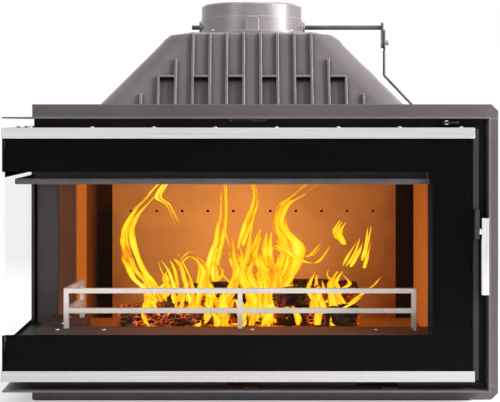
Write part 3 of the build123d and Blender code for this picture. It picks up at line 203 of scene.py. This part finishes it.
def fire_lit(
    name,
    dark,
    light,
    glow_low,
    glow_high,
    centre=(-0.02, 0.17, 0.28),
    reach=0.42,
    band=None,
    edge_highlight=None,
):
    """A lining with the fire's light painted on as a glow: brighter near the flames, or across a band of
    an axis.
    """
    graph = Graph(name)
    fire = graph.add("ShaderNodeVectorMath", {0: graph.coords, 1: centre}, operation="SUBTRACT")
    squeezed = graph.add(
        "ShaderNodeVectorMath", {0: fire.outputs[0], 1: (1.0, 1.0, 1.15)}, operation="MULTIPLY"
    )
    away = graph.add("ShaderNodeVectorMath", {0: squeezed.outputs[0]}, operation="LENGTH")
    near = graph.span(away.outputs["Value"], 0.05, reach, 1.0, 0.0)
    if band:
        axis, dim_end, lit_end = band
        split = graph.add("ShaderNodeSeparateXYZ", {0: graph.coords})
        near = graph.span(split.outputs[axis], dim_end, lit_end, 0.0, 1.0)
    patch = graph.cloud(9.0, 5.0, warp=0.6)
    mixed = graph.sums("ADD", near, graph.span(patch, 0.3, 0.7, -0.10, 0.10))
    # Painted fire light: this glow is emitted by the lining itself.
    glow = graph.ramp(mixed, (0.0, glow_low), (1.0, glow_high))
    tint = graph.ramp(graph.cloud(24.0, 6.0), (0.25, dark), (0.75, light))
    # Painted highlight: a lighter colour along the edges.
    if edge_highlight:
        tint = graph.painted_edge_highlight(tint, edge_highlight, 0.0016)
    height = graph.cloud(260.0, 5.0)
    shader = graph.add(
        "ShaderNodeBsdfPrincipled",
        {
            "Base Color": tint,
            "Roughness": graph.span(patch, 0.3, 0.7, 0.75, 0.95),
            "Emission Color": glow,
            "Normal": graph.bump(height, 0.5, 0.0012, 0.0015),
            "Emission Strength": 0.9,
            "Specular IOR Level": 0.25,
        },
    )
    return graph.close(shader.outputs[0])


def clear_glass():
    """Thin clear glass with a faint cool tint and streaks of gloss."""
    graph = Graph("clear_glass")
    haze = graph.cloud(6.0, 3.0)
    mist = graph.ramp(haze, (0.3, (0.988, 0.992, 0.990, 1)), (0.7, (0.996, 0.998, 0.997, 1)))
    through = graph.add("ShaderNodeBsdfTransparent", {"Color": mist})
    rough = graph.span(haze, 0.3, 0.7, 0.01, 0.05)
    gloss = graph.add("ShaderNodeBsdfGlossy", {"Color": (0.9, 0.92, 0.92, 1), "Roughness": rough})
    fresnel = graph.add("ShaderNodeFresnel", {"IOR": 1.06}).outputs[0]
    inner = graph.add("ShaderNodeNewGeometry").outputs["Backfacing"]
    share = graph.sums("MULTIPLY", fresnel, graph.sums("SUBTRACT", 1.0, inner))
    mix = graph.add(
        "ShaderNodeMixShader",
        {0: share, 1: through.outputs[0], 2: gloss.outputs[0]},
    )
    return graph.close(mix.outputs[0])


def printed_black():
    """Black fired print: deep gloss with a very faint haze."""
    graph = Graph("printed_black")
    haze = graph.cloud(5.0, 3.0)
    tint = graph.ramp(haze, (0.3, (0.0012, 0.0011, 0.0012, 1)), (0.7, (0.0022, 0.0020, 0.0022, 1)))
    shader = graph.add(
        "ShaderNodeBsdfPrincipled",
        {
            "Base Color": tint,
            "Roughness": graph.span(haze, 0.3, 0.7, 0.06, 0.14),
            "Specular IOR Level": 0.04,
            "Normal": graph.bump(graph.cloud(3.0, 2.0), 0.05, 0.0002),
        },
    )
    return graph.close(shader.outputs[0])


def woven_rope():
    """Glass-fibre rope: slanting strands."""
    graph = Graph("woven_rope")
    strands = graph.add(
        "ShaderNodeTexWave",
        {"Vector": graph.coords, "Scale": 90.0, "Distortion": 1.5, "Detail": 2.0},
        wave_type="BANDS",
        bands_direction="DIAGONAL",
    )
    tint = graph.ramp(strands.outputs["Fac"], (0.0, tone(26, 25, 24)), (1.0, tone(86, 84, 80)))
    shader = graph.add(
        "ShaderNodeBsdfPrincipled",
        {
            "Base Color": tint,
            "Roughness": graph.span(strands.outputs["Fac"], 0, 1, 0.95, 0.8),
            "Normal": graph.bump(strands.outputs["Fac"], 0.6, 0.001),
        },
    )
    return graph.close(shader.outputs[0])


def ember_wood(name):
    """Charred wood: ash-grey on black, with glowing cracks low down."""
    graph = Graph(name + "_wood")
    vector = graph.stretched((1.0, 2.4, 2.4))
    cracks = graph.add(
        "ShaderNodeTexVoronoi",
        {"Vector": vector, "Scale": 62.0, "Randomness": 0.9},
        feature="DISTANCE_TO_EDGE",
    ).outputs["Distance"]
    soot = graph.cloud(34.0, 6.0, vector)
    tint = graph.ramp(
        soot,
        (0.30, tone(16, 12, 11)),
        (0.52, tone(46, 33, 26)),
        (0.66, tone(104, 84, 66)),
        (0.80, tone(150, 134, 116)),
    )
    height = graph.add("ShaderNodeSeparateXYZ", {"Vector": graph.coords}).outputs["Z"]
    low = graph.span(height, 0.085, 0.175, 1.0, 0.12)
    line = graph.span(cracks, 0.0, 0.07, 1.0, 0.0)
    patch = graph.span(graph.cloud(16.0, 3.0), 0.47, 0.62, 0.0, 1.0)
    hot = graph.sums("MULTIPLY", graph.sums("MULTIPLY", line, patch), low)
    glow = graph.ramp(
        hot,
        (0.0, (0, 0, 0, 1)),
        (0.35, (0.6, 0.06, 0.0, 1)),
        (1.0, (1.0, 0.42, 0.05, 1)),
    )
    shader = graph.add(
        "ShaderNodeBsdfPrincipled",
        {
            "Base Color": tint,
            "Roughness": graph.span(soot, 0.3, 0.7, 0.95, 0.7),
            "Emission Color": glow,
            "Normal": graph.bump(graph.sums("ADD", cracks, soot), 0.9, 0.004),
            "Emission Strength": 2.2,
        },
    )
    return graph.close(shader.outputs[0])


# In these finishes a lighter edge colour is a painted highlight along the edges, a shade depth gives
# painted shade in hollows, and the fire_lit glow is painted fire light.
finishes = {
    # Near black: painted shade for the body castings, which stand in shade within the opening; the left
    # side casting shows the same iron lit, in grey.
    "cast_body": metal_or_paint(
        "cast_body", tone(16, 14, 15), tone(28, 25, 27), (0.6, 0.8), scale=9, grain=420, bump=0.5
    ),
    "cast_hood": metal_or_paint(
        "cast_hood",
        tone(102, 93, 98),
        tone(116, 107, 112),
        (0.30, 0.42),
        scale=7,
        grain=520,
        bump=0.35,
        edge=0.0025,
        specular=0.5,
        edge_highlight=tone(214, 205, 210),
        edge_highlight_width=0.0014,
        shade=0.030,
    ),
    "collar_iron": metal_or_paint(
        "collar_iron",
        tone(124, 115, 120),
        tone(146, 137, 142),
        (0.26, 0.36),
        metallic=0.2,
        scale=10,
        grain=420,
        edge=0.0018,
        specular=0.9,
        edge_highlight=tone(214, 206, 210),
        edge_highlight_width=0.0014,
    ),
    "rim_paint": metal_or_paint(
        "rim_paint",
        tone(86, 78, 82),
        tone(98, 90, 94),
        (0.38, 0.5),
        scale=6,
        grain=900,
        bump=0.15,
        edge_highlight=tone(158, 149, 154),
        edge_highlight_width=0.0018,
    ),
    "door_paint": metal_or_paint(
        "door_paint", tone(12, 10, 12), tone(19, 17, 19), (0.45, 0.6), scale=8, grain=800, bump=0.2
    ),
    "control_black": metal_or_paint(
        "control_black",
        tone(14, 12, 14),
        tone(24, 21, 24),
        (0.3, 0.45),
        scale=20,
        grain=800,
        edge_highlight=tone(96, 90, 94),
        edge_highlight_width=0.0007,
    ),
    "glass": clear_glass(),
    "black_print": printed_black(),
    "trim_steel": metal_or_paint(
        "trim_steel",
        tone(204, 202, 206),
        tone(220, 219, 222),
        (0.20, 0.32),
        metallic=1.0,
        scale=5,
        stretch=(0.6, 0.6, 60),
        grain=60,
        bump=0.06,
        edge=0.0008,
        edge_highlight=tone(250, 249, 251),
        edge_highlight_width=0.0016,
    ),
    "handle_steel": metal_or_paint(
        "handle_steel",
        tone(224, 222, 225),
        tone(238, 236, 239),
        (0.14, 0.24),
        metallic=1.0,
        scale=10,
        stretch=(20, 20, 1),
        grain=80,
        bump=0.05,
    ),
    "guard_steel": metal_or_paint(
        "guard_steel",
        tone(226, 215, 209),
        tone(240, 230, 224),
        (0.26, 0.4),
        metallic=0.4,
        scale=12,
        grain=300,
        bump=0.1,
    ),
    "damper_steel": metal_or_paint(
        "damper_steel", tone(76, 69, 72), tone(104, 96, 100), (0.4, 0.55), metallic=0.5, scale=30
    ),
    "deflector_steel": metal_or_paint(
        "deflector_steel",
        tone(76, 71, 73),
        tone(96, 90, 93),
        (0.5, 0.65),
        metallic=0.2,
        scale=16,
        edge_highlight=tone(120, 113, 116),
        edge_highlight_width=0.0012,
    ),
    "firebox_steel": metal_or_paint(
        "firebox_steel", tone(14, 11, 10), tone(30, 24, 22), (0.65, 0.85), scale=22, grain=300
    ),
    "firebox_iron": fire_lit(
        "firebox_iron",
        tone(48, 28, 20),
        tone(74, 42, 28),
        (0.06, 0.010, 0.002, 1),
        (0.46, 0.100, 0.008, 1),
        centre=(-0.02, 0.08, 0.10),
        reach=0.46,
    ),
    "fireclay": fire_lit(
        "fireclay",
        tone(112, 60, 30),
        tone(142, 80, 40),
        (0.09, 0.018, 0.003, 1),
        (0.78, 0.265, 0.056, 1),
        reach=0.38,
    ),
    "rope_seal": woven_rope(),
    "charred_wood": ember_wood("charred_wood"),
    "zinc_steel": metal_or_paint(
        "zinc_steel", tone(128, 129, 131), tone(168, 169, 172), (0.35, 0.5), metallic=0.8, scale=60
    ),
    "fasteners": metal_or_paint(
        "fasteners", tone(176, 172, 174), tone(205, 201, 203), (0.2, 0.34), metallic=1.0, scale=80
    ),
}
# These nodes get a material of their own within their slot, mostly for painted light: painted fire glow
# on the linings, retainers and sill, painted highlights on the sill's edges, painted shade on the low
# trim strip, and the lit grey of the left side casting.
special = {
    "side_liner_left": fire_lit(
        "left_liner_clay",
        tone(82, 56, 48),
        tone(108, 74, 62),
        (0.050, 0.026, 0.020, 1),
        (0.52, 0.12, 0.014, 1),
        band=(1, 0.132, 0.140),
    ),
    "corner_retainer_left": fire_lit(
        "left_retainer_iron",
        tone(20, 17, 17),
        tone(34, 29, 29),
        (0.0, 0.0, 0.0, 1),
        (0.22, 0.040, 0.006, 1),
        band=(0, -0.328, -0.358),
    ),
    "corner_retainer_right": fire_lit(
        "right_retainer_iron",
        tone(20, 17, 17),
        tone(34, 29, 29),
        (0.0, 0.0, 0.0, 1),
        (0.006, 0.002, 0.001, 1),
        band=(0, 0.34, 0.30),
    ),
    # The left side casting in the lit grey of the castings; the other body castings are painted near
    # black for shade.
    "left_side_casting": metal_or_paint(
        "left_casting_lit_grey", tone(62, 55, 59), tone(78, 69, 73), (0.5, 0.7), scale=9, grain=420, bump=0.5
    ),
    # Painted shade: the low strip is the trim steel made darker, for the dimmer light it reflects low
    # down, without the painted edge highlight.
    "trim_strip_bottom": metal_or_paint(
        "low_trim_steel_shaded",
        tone(178, 175, 179),
        tone(192, 190, 193),
        (0.20, 0.32),
        metallic=1.0,
        scale=5,
        stretch=(0.6, 0.6, 60),
        grain=60,
        bump=0.06,
        edge=0.0008,
    ),
    "side_liner_right": fire_lit(
        "right_liner_clay",
        tone(92, 52, 36),
        tone(122, 72, 48),
        (0.30, 0.065, 0.008, 1),
        (0.46, 0.105, 0.012, 1),
        centre=(0.34, -0.02, 0.22),
        reach=0.34,
    ),
    "sill_casting": fire_lit(
        "sill_iron",
        tone(40, 31, 28),
        tone(60, 46, 42),
        (0.004, 0.001, 0.0, 1),
        (0.20, 0.034, 0.004, 1),
        centre=(0.0, 0.02, 0.10),
        reach=0.42,
        edge_highlight=tone(150, 122, 108),
    ),
}

slot_of = {entry["node"]: entry["material_slot"] for entry in frame["record"]["subparts"]}
for name, thing in nodes.items():
    thing.data.materials.clear()
    thing.data.materials.append(special.get(name) or finishes[slot_of[name]])
    for face in thing.data.polygons:
        face.use_smooth = True
    split = thing.modifiers.new("sharp_edges", "EDGE_SPLIT")
    split.split_angle = math.radians(32)


def piece(name, points, faces, material, body, smooth=True):
    """A new mesh that rides on a body."""
    mesh = bpy.data.meshes.new(name)
    mesh.from_pydata([tuple(p) for p in points], [], faces)
    mesh.update()
    mesh.materials.append(material)
    for face in mesh.polygons:
        face.use_smooth = smooth
    made = bpy.data.objects.new(name, mesh)
    scene.collection.objects.link(made)
    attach(made, body)
    return made


def corner_print(name, low, high):
    """Black print that wraps the end of the front glass at the corner of the two panes."""
    glass_low, glass_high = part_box("front_glass")
    side_low, side_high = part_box("side_glass")
    film = 0.0003
    soft = 0.0008
    left = min(glass_low.x, side_low.x) - film
    front = glass_low.y - film
    right = side_high.x + 0.001
    back = glass_high.y
    outline = [
        (right, front),
        (left + soft, front),
        (left + soft * 0.3, front + soft * 0.3),
        (left, front + soft),
        (left, back),
        (left + film, back),
        (left + film, front + soft),
        (left + soft, front + film),
        (right, front + film),
    ]
    count = len(outline)
    points = [(x, y, z) for z in (low, high) for x, y in outline]
    faces = [(k, k + count, (k + 1) % count + count, (k + 1) % count) for k in range(count)]
    faces.append(tuple(range(count)))
    faces.append(tuple(range(2 * count - 1, count - 1, -1)))
    return piece(name, points, faces, finishes["black_print"], "door")


# The inner edges of the printed border, above and below the opening.
PRINT_TOP_EDGE = 0.4147
PRINT_LOW_EDGE = 0.126
print_low, print_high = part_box("front_print")
corner_print("corner_print_top", PRINT_TOP_EDGE, print_high.z)
corner_print("corner_print_low", print_low.z, PRINT_LOW_EDGE)

# The fire stands on the grate and stays within these limits, in metres.
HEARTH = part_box("grate")[1].z
FIRE_LEFT = -0.285
FIRE_RIGHT = 0.262
FIRE_FRONT = -0.06
FIRE_BACK = 0.145


# A log's section: across from -1 to 1 and up from 0 to 1, flat below.
LOG_SHAPE = (
    (-0.75, 0.0),
    (0.70, 0.0),
    (1.0, 0.35),
    (0.80, 0.80),
    (0.35, 1.0),
    (-0.40, 1.0),
    (-0.95, 0.60),
    (-1.0, 0.20),
)


def log_section():
    """The split wood's outline with its corners rounded twice."""
    points = [Vector(p) for p in LOG_SHAPE]
    for _ in range(2):
        rounder = []
        for here, after in zip(points, points[1:] + points[:1]):
            rounder.append(here.lerp(after, 0.2))
            rounder.append(here.lerp(after, 0.8))
        points = rounder
    return points


def charred_log(name, place, base, height):
    """A split log on the heap: furrowed bark, splintered ends and a flat underside."""
    x, y, length, width, turn = place
    section = log_section()
    sides = len(section)
    rings = 44
    shift = Vector((x * 37, y * 53, length * 29))
    cos_t, sin_t = math.cos(math.radians(turn)), math.sin(math.radians(turn))
    points = []
    for ring in range(rings + 1):
        t = ring / rings
        ends = 1 - 0.16 * abs(2 * t - 1) ** 9
        for k, (across, up) in enumerate(section):
            along = (t - 0.5) * length
            probe = Vector((along * 30, across * 1.4, up * 1.8)) + shift
            rough = noise.noise(probe) * 0.10 + noise.noise(probe * 2.7) * 0.06
            furrow = abs(noise.noise(Vector((along * 8, k * 0.62, 3.0)) + shift)) * 0.30
            reach = min(1.0, ends * (0.97 + rough - furrow * 0.5))
            splinter = 0.007 * noise.noise(Vector((k * 0.9, 5.0 + ring // 40, x * 20)))
            if ring in (0, rings):
                along -= math.copysign(abs(splinter), along)
            side = across * reach * width / 2
            rise = (0.5 + (up - 0.5) * reach) * height if up > 0.05 else up * height
            log_x = x + along * cos_t - side * sin_t
            log_y = y + along * sin_t + side * cos_t
            points.append(Vector((log_x, log_y, base + rise)))
    faces = []
    for ring in range(rings):
        for k in range(sides):
            after = (k + 1) % sides
            first = ring * sides
            faces.append((first + k, first + after, first + sides + after, first + sides + k))
    for ring in (0, rings):
        rim = points[ring * sides : (ring + 1) * sides]
        points.append(sum(rim, Vector()) / sides)
        hub = len(points) - 1
        for k in range(sides):
            triangle = (ring * sides + k, hub, ring * sides + (k + 1) % sides)
            faces.append(triangle if ring == 0 else triangle[::-1])
    made = piece(name, points, faces, finishes["charred_wood"], "body")
    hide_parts("log_load")


BED_TOP = HEARTH + 0.012
LOW_LOG_HEIGHT = 0.047
HIGH_LOG_BASE = BED_TOP + 0.046
HIGH_LOG_HEIGHT = 0.037

# Each log: x, y, length and width in metres, then its turn in degrees.
LOW_LOGS = (
    (-0.150, 0.012, 0.240, 0.058, 17),
    (0.100, 0.008, 0.230, 0.054, -14),
    (0.010, 0.112, 0.400, 0.062, -3),
)
HIGH_LOGS = ((0.020, 0.066, 0.290, 0.050, 14), (0.129, 0.011, 0.210, 0.044, 40))
for index, place in enumerate(LOW_LOGS):
    charred_log(f"low_log_{index}", place, BED_TOP, LOW_LOG_HEIGHT)
for index, place in enumerate(HIGH_LOGS):
    charred_log(f"high_log_{index}", place, HIGH_LOG_BASE, HIGH_LOG_HEIGHT)


def ember_bed():
    """A low heap of embers and ash over the grate, with a lumpy top."""
    columns, rows = 90, 44
    left, right, front, back = -0.235, 0.222, -0.062, 0.158
    points = []
    for row in range(rows + 1):
        for column in range(columns + 1):
            u, v = column / columns, row / rows
            x = left + (right - left) * u
            y = front + (back - front) * v
            mound = math.sin(math.pi * u) ** 0.5 * math.sin(math.pi * v) ** 0.5
            lump = noise.noise(Vector((x * 48, y * 48, 2.0))) * 0.5
            lump += abs(noise.noise(Vector((x * 120, y * 120, 5.0)))) * 0.5
            wave = 0.006 * noise.noise(Vector((u * 9, v * 9, 1.0)))
            rise = 0.0006 + mound * (0.007 + 0.006 * lump)
            points.append(Vector((x + wave, y + wave, HEARTH + rise)))
    faces = []
    for row in range(rows):
        for column in range(columns):
            first = row * (columns + 1) + column
            above = first + columns + 1
            faces.append((first, first + 1, above + 1, above))
    graph = Graph("embers")
    lumps = graph.add(
        "ShaderNodeTexVoronoi", {"Vector": graph.coords, "Scale": 85.0}, feature="F1"
    ).outputs["Distance"]
    heat = graph.cloud(22.0, 5.0, warp=0.8)
    tint = graph.ramp(lumps, (0.1, tone(70, 58, 52)), (0.6, tone(22, 16, 14)))
    hot_spots = graph.span(heat, 0.44, 0.62, 0.0, 1.0)
    gaps = graph.span(lumps, 0.1, 0.7, 0.5, 1.0)
    glow = graph.ramp(
        graph.sums("MULTIPLY", hot_spots, gaps),
        (0.0, (0.03, 0.004, 0.0, 1)),
        (0.5, (0.8, 0.12, 0.0, 1)),
        (1.0, (1.0, 0.5, 0.08, 1)),
    )
    shader = graph.add(
        "ShaderNodeBsdfPrincipled",
        {
            "Base Color": tint,
            "Roughness": graph.span(lumps, 0, 1, 0.95, 0.8),
            "Emission Color": glow,
            "Normal": graph.bump(lumps, 0.8, 0.004),
            "Emission Strength": 1.6,
        },
    )
    made = piece("ember_bed", points, faces, graph.close(shader.outputs[0]), "body")
    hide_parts("log_load")


ember_bed()


def flame_shader():
    """Flame: yellow at its heart, orange at its ragged edges, clear beyond them."""
    graph = Graph("flame")
    veil = graph.add("ShaderNodeAttribute", attribute_name="veil").outputs["Fac"]
    flow = graph.add("ShaderNodeAttribute", attribute_name="flow").outputs["Vector"]
    strands = graph.cloud(1.0, 4.0, flow, 0.55, 0.9)
    inside = graph.sums("SUBTRACT", strands, veil)
    alpha = graph.span(inside, 0.0, 0.07, 0.0, 1.0)
    warm = graph.span(inside, 0.0, 0.34, 0.0, 1.0)
    colour = graph.ramp(
        warm,
        (0.00, (0.78, 0.13, 0.004, 1)),
        (0.16, (0.97, 0.33, 0.008, 1)),
        (0.40, (1.0, 0.60, 0.014, 1)),
        (0.80, (1.0, 0.82, 0.030, 1)),
        (1.00, (1.0, 0.90, 0.10, 1)),
    )
    light = graph.add("ShaderNodeEmission", {"Color": colour, "Strength": 1.1})
    through = graph.add("ShaderNodeBsdfTransparent", {"Color": (1, 1, 1, 1)})
    mix = graph.add(
        "ShaderNodeMixShader", {0: alpha, 1: through.outputs[0], 2: light.outputs[0]}
    )
    return graph.close(mix.outputs[0])


# Streams of the fire: half width in mm, then a route of (x, z) in mm from the foot to the tip.
STREAMS = (
    (11, (-186, 120), (-206, 170), (-236, 205), (-254, 265), (-240, 312), (-208, 350), (-176, 384)),
    (8, (-176, 384), (-190, 352), (-172, 332), (-148, 292)),
    (9, (-196, 96), (-212, 132), (-206, 172), (-222, 206)),
    (11, (-70, 150), (-80, 205), (-72, 250), (-56, 308), (-58, 386)),
    (20, (-52, 98), (-48, 142), (-24, 190), (-34, 232), (-46, 304)),
    (13, (-92, 110), (-84, 150), (-96, 196), (-72, 236)),
    (26, (26, 104), (36, 150), (40, 196), (22, 236), (30, 286)),
    (17, (46, 166), (70, 214), (80, 256), (58, 294), (64, 336), (92, 358), (128, 386)),
    (15, (50, 262), (80, 238), (116, 232), (146, 258)),
    (16, (-2, 104), (4, 152), (-14, 200), (-4, 246), (10, 296)),
    (9, (-24, 252), (-10, 296), (6, 344), (2, 384)),
    (12, (66, 110), (84, 150), (70, 190), (96, 226)),
    (10, (180, 262), (172, 284), (184, 302)),
    (8, (190, 212), (206, 244), (216, 272)),
    (6, (226, 216), (234, 246), (244, 284)),
    (8, (170, 134), (204, 152), (234, 178), (252, 202)),
    (15, (160, 100), (170, 134), (158, 178), (172, 206)),
    (12, (124, 104), (132, 140), (118, 176), (130, 206)),
    (9, (-112, 132), (-100, 180), (-100, 216), (-120, 242), (-142, 224)),
    (8, (-120, 122), (-126, 174), (-142, 218), (-156, 236)),
    (7, (-156, 160), (-164, 198), (-182, 230)),
    (14, (-140, 98), (-150, 132), (-136, 168)),
    (12, (-108, 96), (-116, 134), (-102, 158)),
)


def route_point(route, t):
    """A point on the smooth curve through a route's points."""
    spot = t * (len(route) - 1)
    index = min(int(spot), len(route) - 2)
    u = spot - index
    before = Vector(route[max(index - 1, 0)])
    here = Vector(route[index])
    after = Vector(route[index + 1])
    beyond = Vector(route[min(index + 2, len(route) - 1)])
    bend = 2 * before - 5 * here + 4 * after - beyond
    turn = 3 * (here - after) + beyond - before
    return 0.5 * (2 * here + (after - before) * u + bend * u * u + turn * u ** 3)


def flames():
    """Streams of fire that curl up from the logs, each of several thin sheets, and loose tongues."""
    rng = random.Random(11)
    points, faces, veils, flows = [], [], [], []
    steps, across = 34, 8
    sheets = []
    for width, *route in STREAMS:
        for copy in range(3):
            spread = 0.5 * width * (copy - 1)
            moved = [(x + spread + rng.uniform(-3, 3), z + rng.uniform(-4, 4)) for x, z in route]
            sheets.append((moved, width * rng.uniform(0.8, 1.2), rng.uniform(0.0, 0.06)))
    for index in range(48):
        x = -205 + 385 * (index + rng.random()) / 48
        foot = rng.uniform(90, 150)
        tall = rng.uniform(35, 80)
        lean = rng.uniform(-0.35, 0.35) * tall
        curl = rng.uniform(-0.22, 0.22) * tall
        route = [(x, foot), (x + curl, foot + 0.35 * tall), (x + lean - curl, foot + 0.7 * tall)]
        sheets.append((route + [(x + lean, foot + tall)], rng.uniform(7, 15), rng.uniform(0, 0.1)))
    for route, width, thin in sheets:
        low = route[0][1] < 150
        y = rng.uniform(FIRE_FRONT + 0.012, FIRE_BACK - (0.085 if low else 0.03))
        phase = rng.uniform(0, 2 * math.pi)
        yaw = rng.uniform(-0.6, 0.6)
        twist = rng.uniform(-0.9, 0.9)
        seed = rng.uniform(0, 60)
        first = len(points)
        tall = 0.001 * abs(route[-1][1] - route[0][1])
        for step in range(steps + 1):
            t = step / steps
            middle = route_point(route, t) * 0.001
            centre_y = y + 0.014 * math.sin(phase + 4.0 * t)
            slim = 0.45 + 0.75 * math.sin(math.pi * min(1.0, t * 0.8 + 0.15))
            half = 0.001 * width * slim * (1.02 - t) ** 0.35
            turned = yaw + twist * t
            for k in range(across + 1):
                s = 2 * k / across - 1
                bow = 0.35 * half * (1 - s * s)
                px = middle.x + math.cos(turned) * half * s - math.sin(turned) * bow
                py = centre_y + math.sin(turned) * half * s + math.cos(turned) * bow
                px = min(max(px, FIRE_LEFT), FIRE_RIGHT)
                py = min(max(py, FIRE_FRONT), FIRE_BACK)
                points.append(Vector((px, py, middle.y)))
                foot = 0.14 * max(0.0, 1 - t * 6)
                veils.append(0.20 + thin + 0.46 * abs(s) ** 1.7 + 0.20 * t ** 1.6 + foot)
                flows.append((seed + half * s * 50, seed + tall * t * 15, seed * 0.7))
        for step in range(steps):
            for k in range(across):
                at = first + step * (across + 1) + k
                faces.append((at, at + 1, at + across + 2, at + across + 1))
    made = piece("flames", points, faces, flame_shader(), "body")
    layer = made.data.attributes.new("veil", "FLOAT", "POINT")
    layer.data.foreach_set("value", veils)
    layer = made.data.attributes.new("flow", "FLOAT_VECTOR", "POINT")
    layer.data.foreach_set("vector", [part for flow in flows for part in flow])


flames()

# A ray through the fire crosses many thin sheets, one behind another.
SHEETS_SEEN_THROUGH = 32
scene.cycles.transparent_max_bounces = SHEETS_SEEN_THROUGH


def floor_and_backdrop():
    """A plain pale floor that fades into the white behind it."""
    half = 6.0
    lift_for_views = 0.50
    corners = [(-half, -half, 0), (half, -half, 0), (half, half, 0), (-half, half, 0)]
    mesh = bpy.data.meshes.new("floor")
    mesh.from_pydata(corners, [], [(0, 1, 2, 3)])
    graph = Graph("floor")
    tint = graph.ramp(graph.cloud(3.0, 2.0), (0.3, (0.80, 0.80, 0.80, 1)), (0.7, (0.84, 0.84, 0.84, 1)))
    matt = graph.add("ShaderNodeBsdfDiffuse", {"Color": tint})
    path = graph.add("ShaderNodeLightPath")
    looked_at = graph.sums("MAXIMUM", path.outputs["Is Camera Ray"], path.outputs["Is Glossy Ray"])
    looked_at = graph.sums("MAXIMUM", looked_at, path.outputs["Is Transmission Ray"])
    lift = graph.sums("MULTIPLY", looked_at, lift_for_views)
    white = graph.add("ShaderNodeEmission", {"Color": (1, 1, 1, 1), "Strength": lift})
    pale = graph.add("ShaderNodeAddShader", {0: matt.outputs[0], 1: white.outputs[0]})
    away = graph.add("ShaderNodeVectorMath", {0: graph.coords}, operation="LENGTH")
    fade = graph.span(away.outputs["Value"], 0.8, 2.2, 0.0, 1.0)
    clear = graph.add("ShaderNodeBsdfTransparent", {"Color": (1, 1, 1, 1)})
    mix = graph.add("ShaderNodeMixShader", {0: fade, 1: pale.outputs[0], 2: clear.outputs[0]})
    mesh.materials.append(graph.close(mix.outputs[0]))
    made = bpy.data.objects.new("floor", mesh)
    scene.collection.objects.link(made)


floor_and_backdrop()


def softbox(name, place, target, width, height, power, colour=(1, 1, 1)):
    """A rectangular studio lamp that faces a point."""
    lamp = bpy.data.lights.new(name, "AREA")
    lamp.shape = "RECTANGLE"
    lamp.size = width
    lamp.size_y = height
    lamp.energy = power
    lamp.color = colour
    made = bpy.data.objects.new(name, lamp)
    scene.collection.objects.link(made)
    made.location = place
    aim = Vector(target) - Vector(place)
    made.rotation_euler = aim.to_track_quat("-Z", "Y").to_euler()


softbox("key", (2.7, -1.8, 2.1), (0, 0, 0.5), 0.8, 1.5, 118)
softbox("left_fill", (-2.0, -2.4, 1.9), (0, 0, 0.4), 0.9, 1.6, 24)
softbox("right_rim", (2.2, -0.7, 1.1), (0.1, -0.1, 0.65), 0.35, 1.3, 34)
softbox("top", (0.2, 0.3, 2.8), (0, 0, 0.5), 1.6, 1.2, 22)
softbox("back", (0.3, 2.6, 1.6), (0, 0, 0.4), 1.8, 1.4, 30)

world = bpy.data.worlds.new("studio")
scene.world = world
world.use_nodes = True
sky = world.node_tree
sky.nodes.clear()
path = sky.nodes.new("ShaderNodeLightPath")
seen = sky.nodes.new("ShaderNodeMath")
seen.operation = "MAXIMUM"
sky.links.new(path.outputs["Is Camera Ray"], seen.inputs[0])
sky.links.new(path.outputs["Is Glossy Ray"], seen.inputs[1])
seen_too = sky.nodes.new("ShaderNodeMath")
seen_too.operation = "MAXIMUM"
sky.links.new(seen.outputs[0], seen_too.inputs[0])
sky.links.new(path.outputs["Is Transmission Ray"], seen_too.inputs[1])
lighting = sky.nodes.new("ShaderNodeBackground")
lighting.inputs["Color"].default_value = (1, 1, 1, 1)
lighting.inputs["Strength"].default_value = 0.25
backdrop = sky.nodes.new("ShaderNodeBackground")
backdrop.inputs["Color"].default_value = (1, 1, 1, 1)
backdrop.inputs["Strength"].default_value = 1.0
blend = sky.nodes.new("ShaderNodeMixShader")
sky.links.new(seen_too.outputs[0], blend.inputs[0])
sky.links.new(lighting.outputs[0], blend.inputs[1])
sky.links.new(backdrop.outputs[0], blend.inputs[2])
result = sky.nodes.new("ShaderNodeOutputWorld")
sky.links.new(blend.outputs[0], result.inputs["Surface"])

# The camera stands level, 2.12 m in front of the glass, and its view is shifted down.
SENSOR_WIDTH = 36.0
FOCAL_LENGTH = 86.4
VIEW_SHIFT = -0.158
CAMERA_PLACE = (-0.004, -2.390, 0.503)
camera = bpy.data.objects.new("camera", bpy.data.cameras.new("camera"))
scene.collection.objects.link(camera)
camera.data.sensor_width = SENSOR_WIDTH
camera.data.sensor_fit = "HORIZONTAL"
camera.data.lens = FOCAL_LENGTH
camera.data.shift_y = VIEW_SHIFT
camera.location = CAMERA_PLACE
camera.rotation_euler = (math.radians(90), 0, 0)
scene.camera = camera
scene.view_settings.view_transform = "Standard"
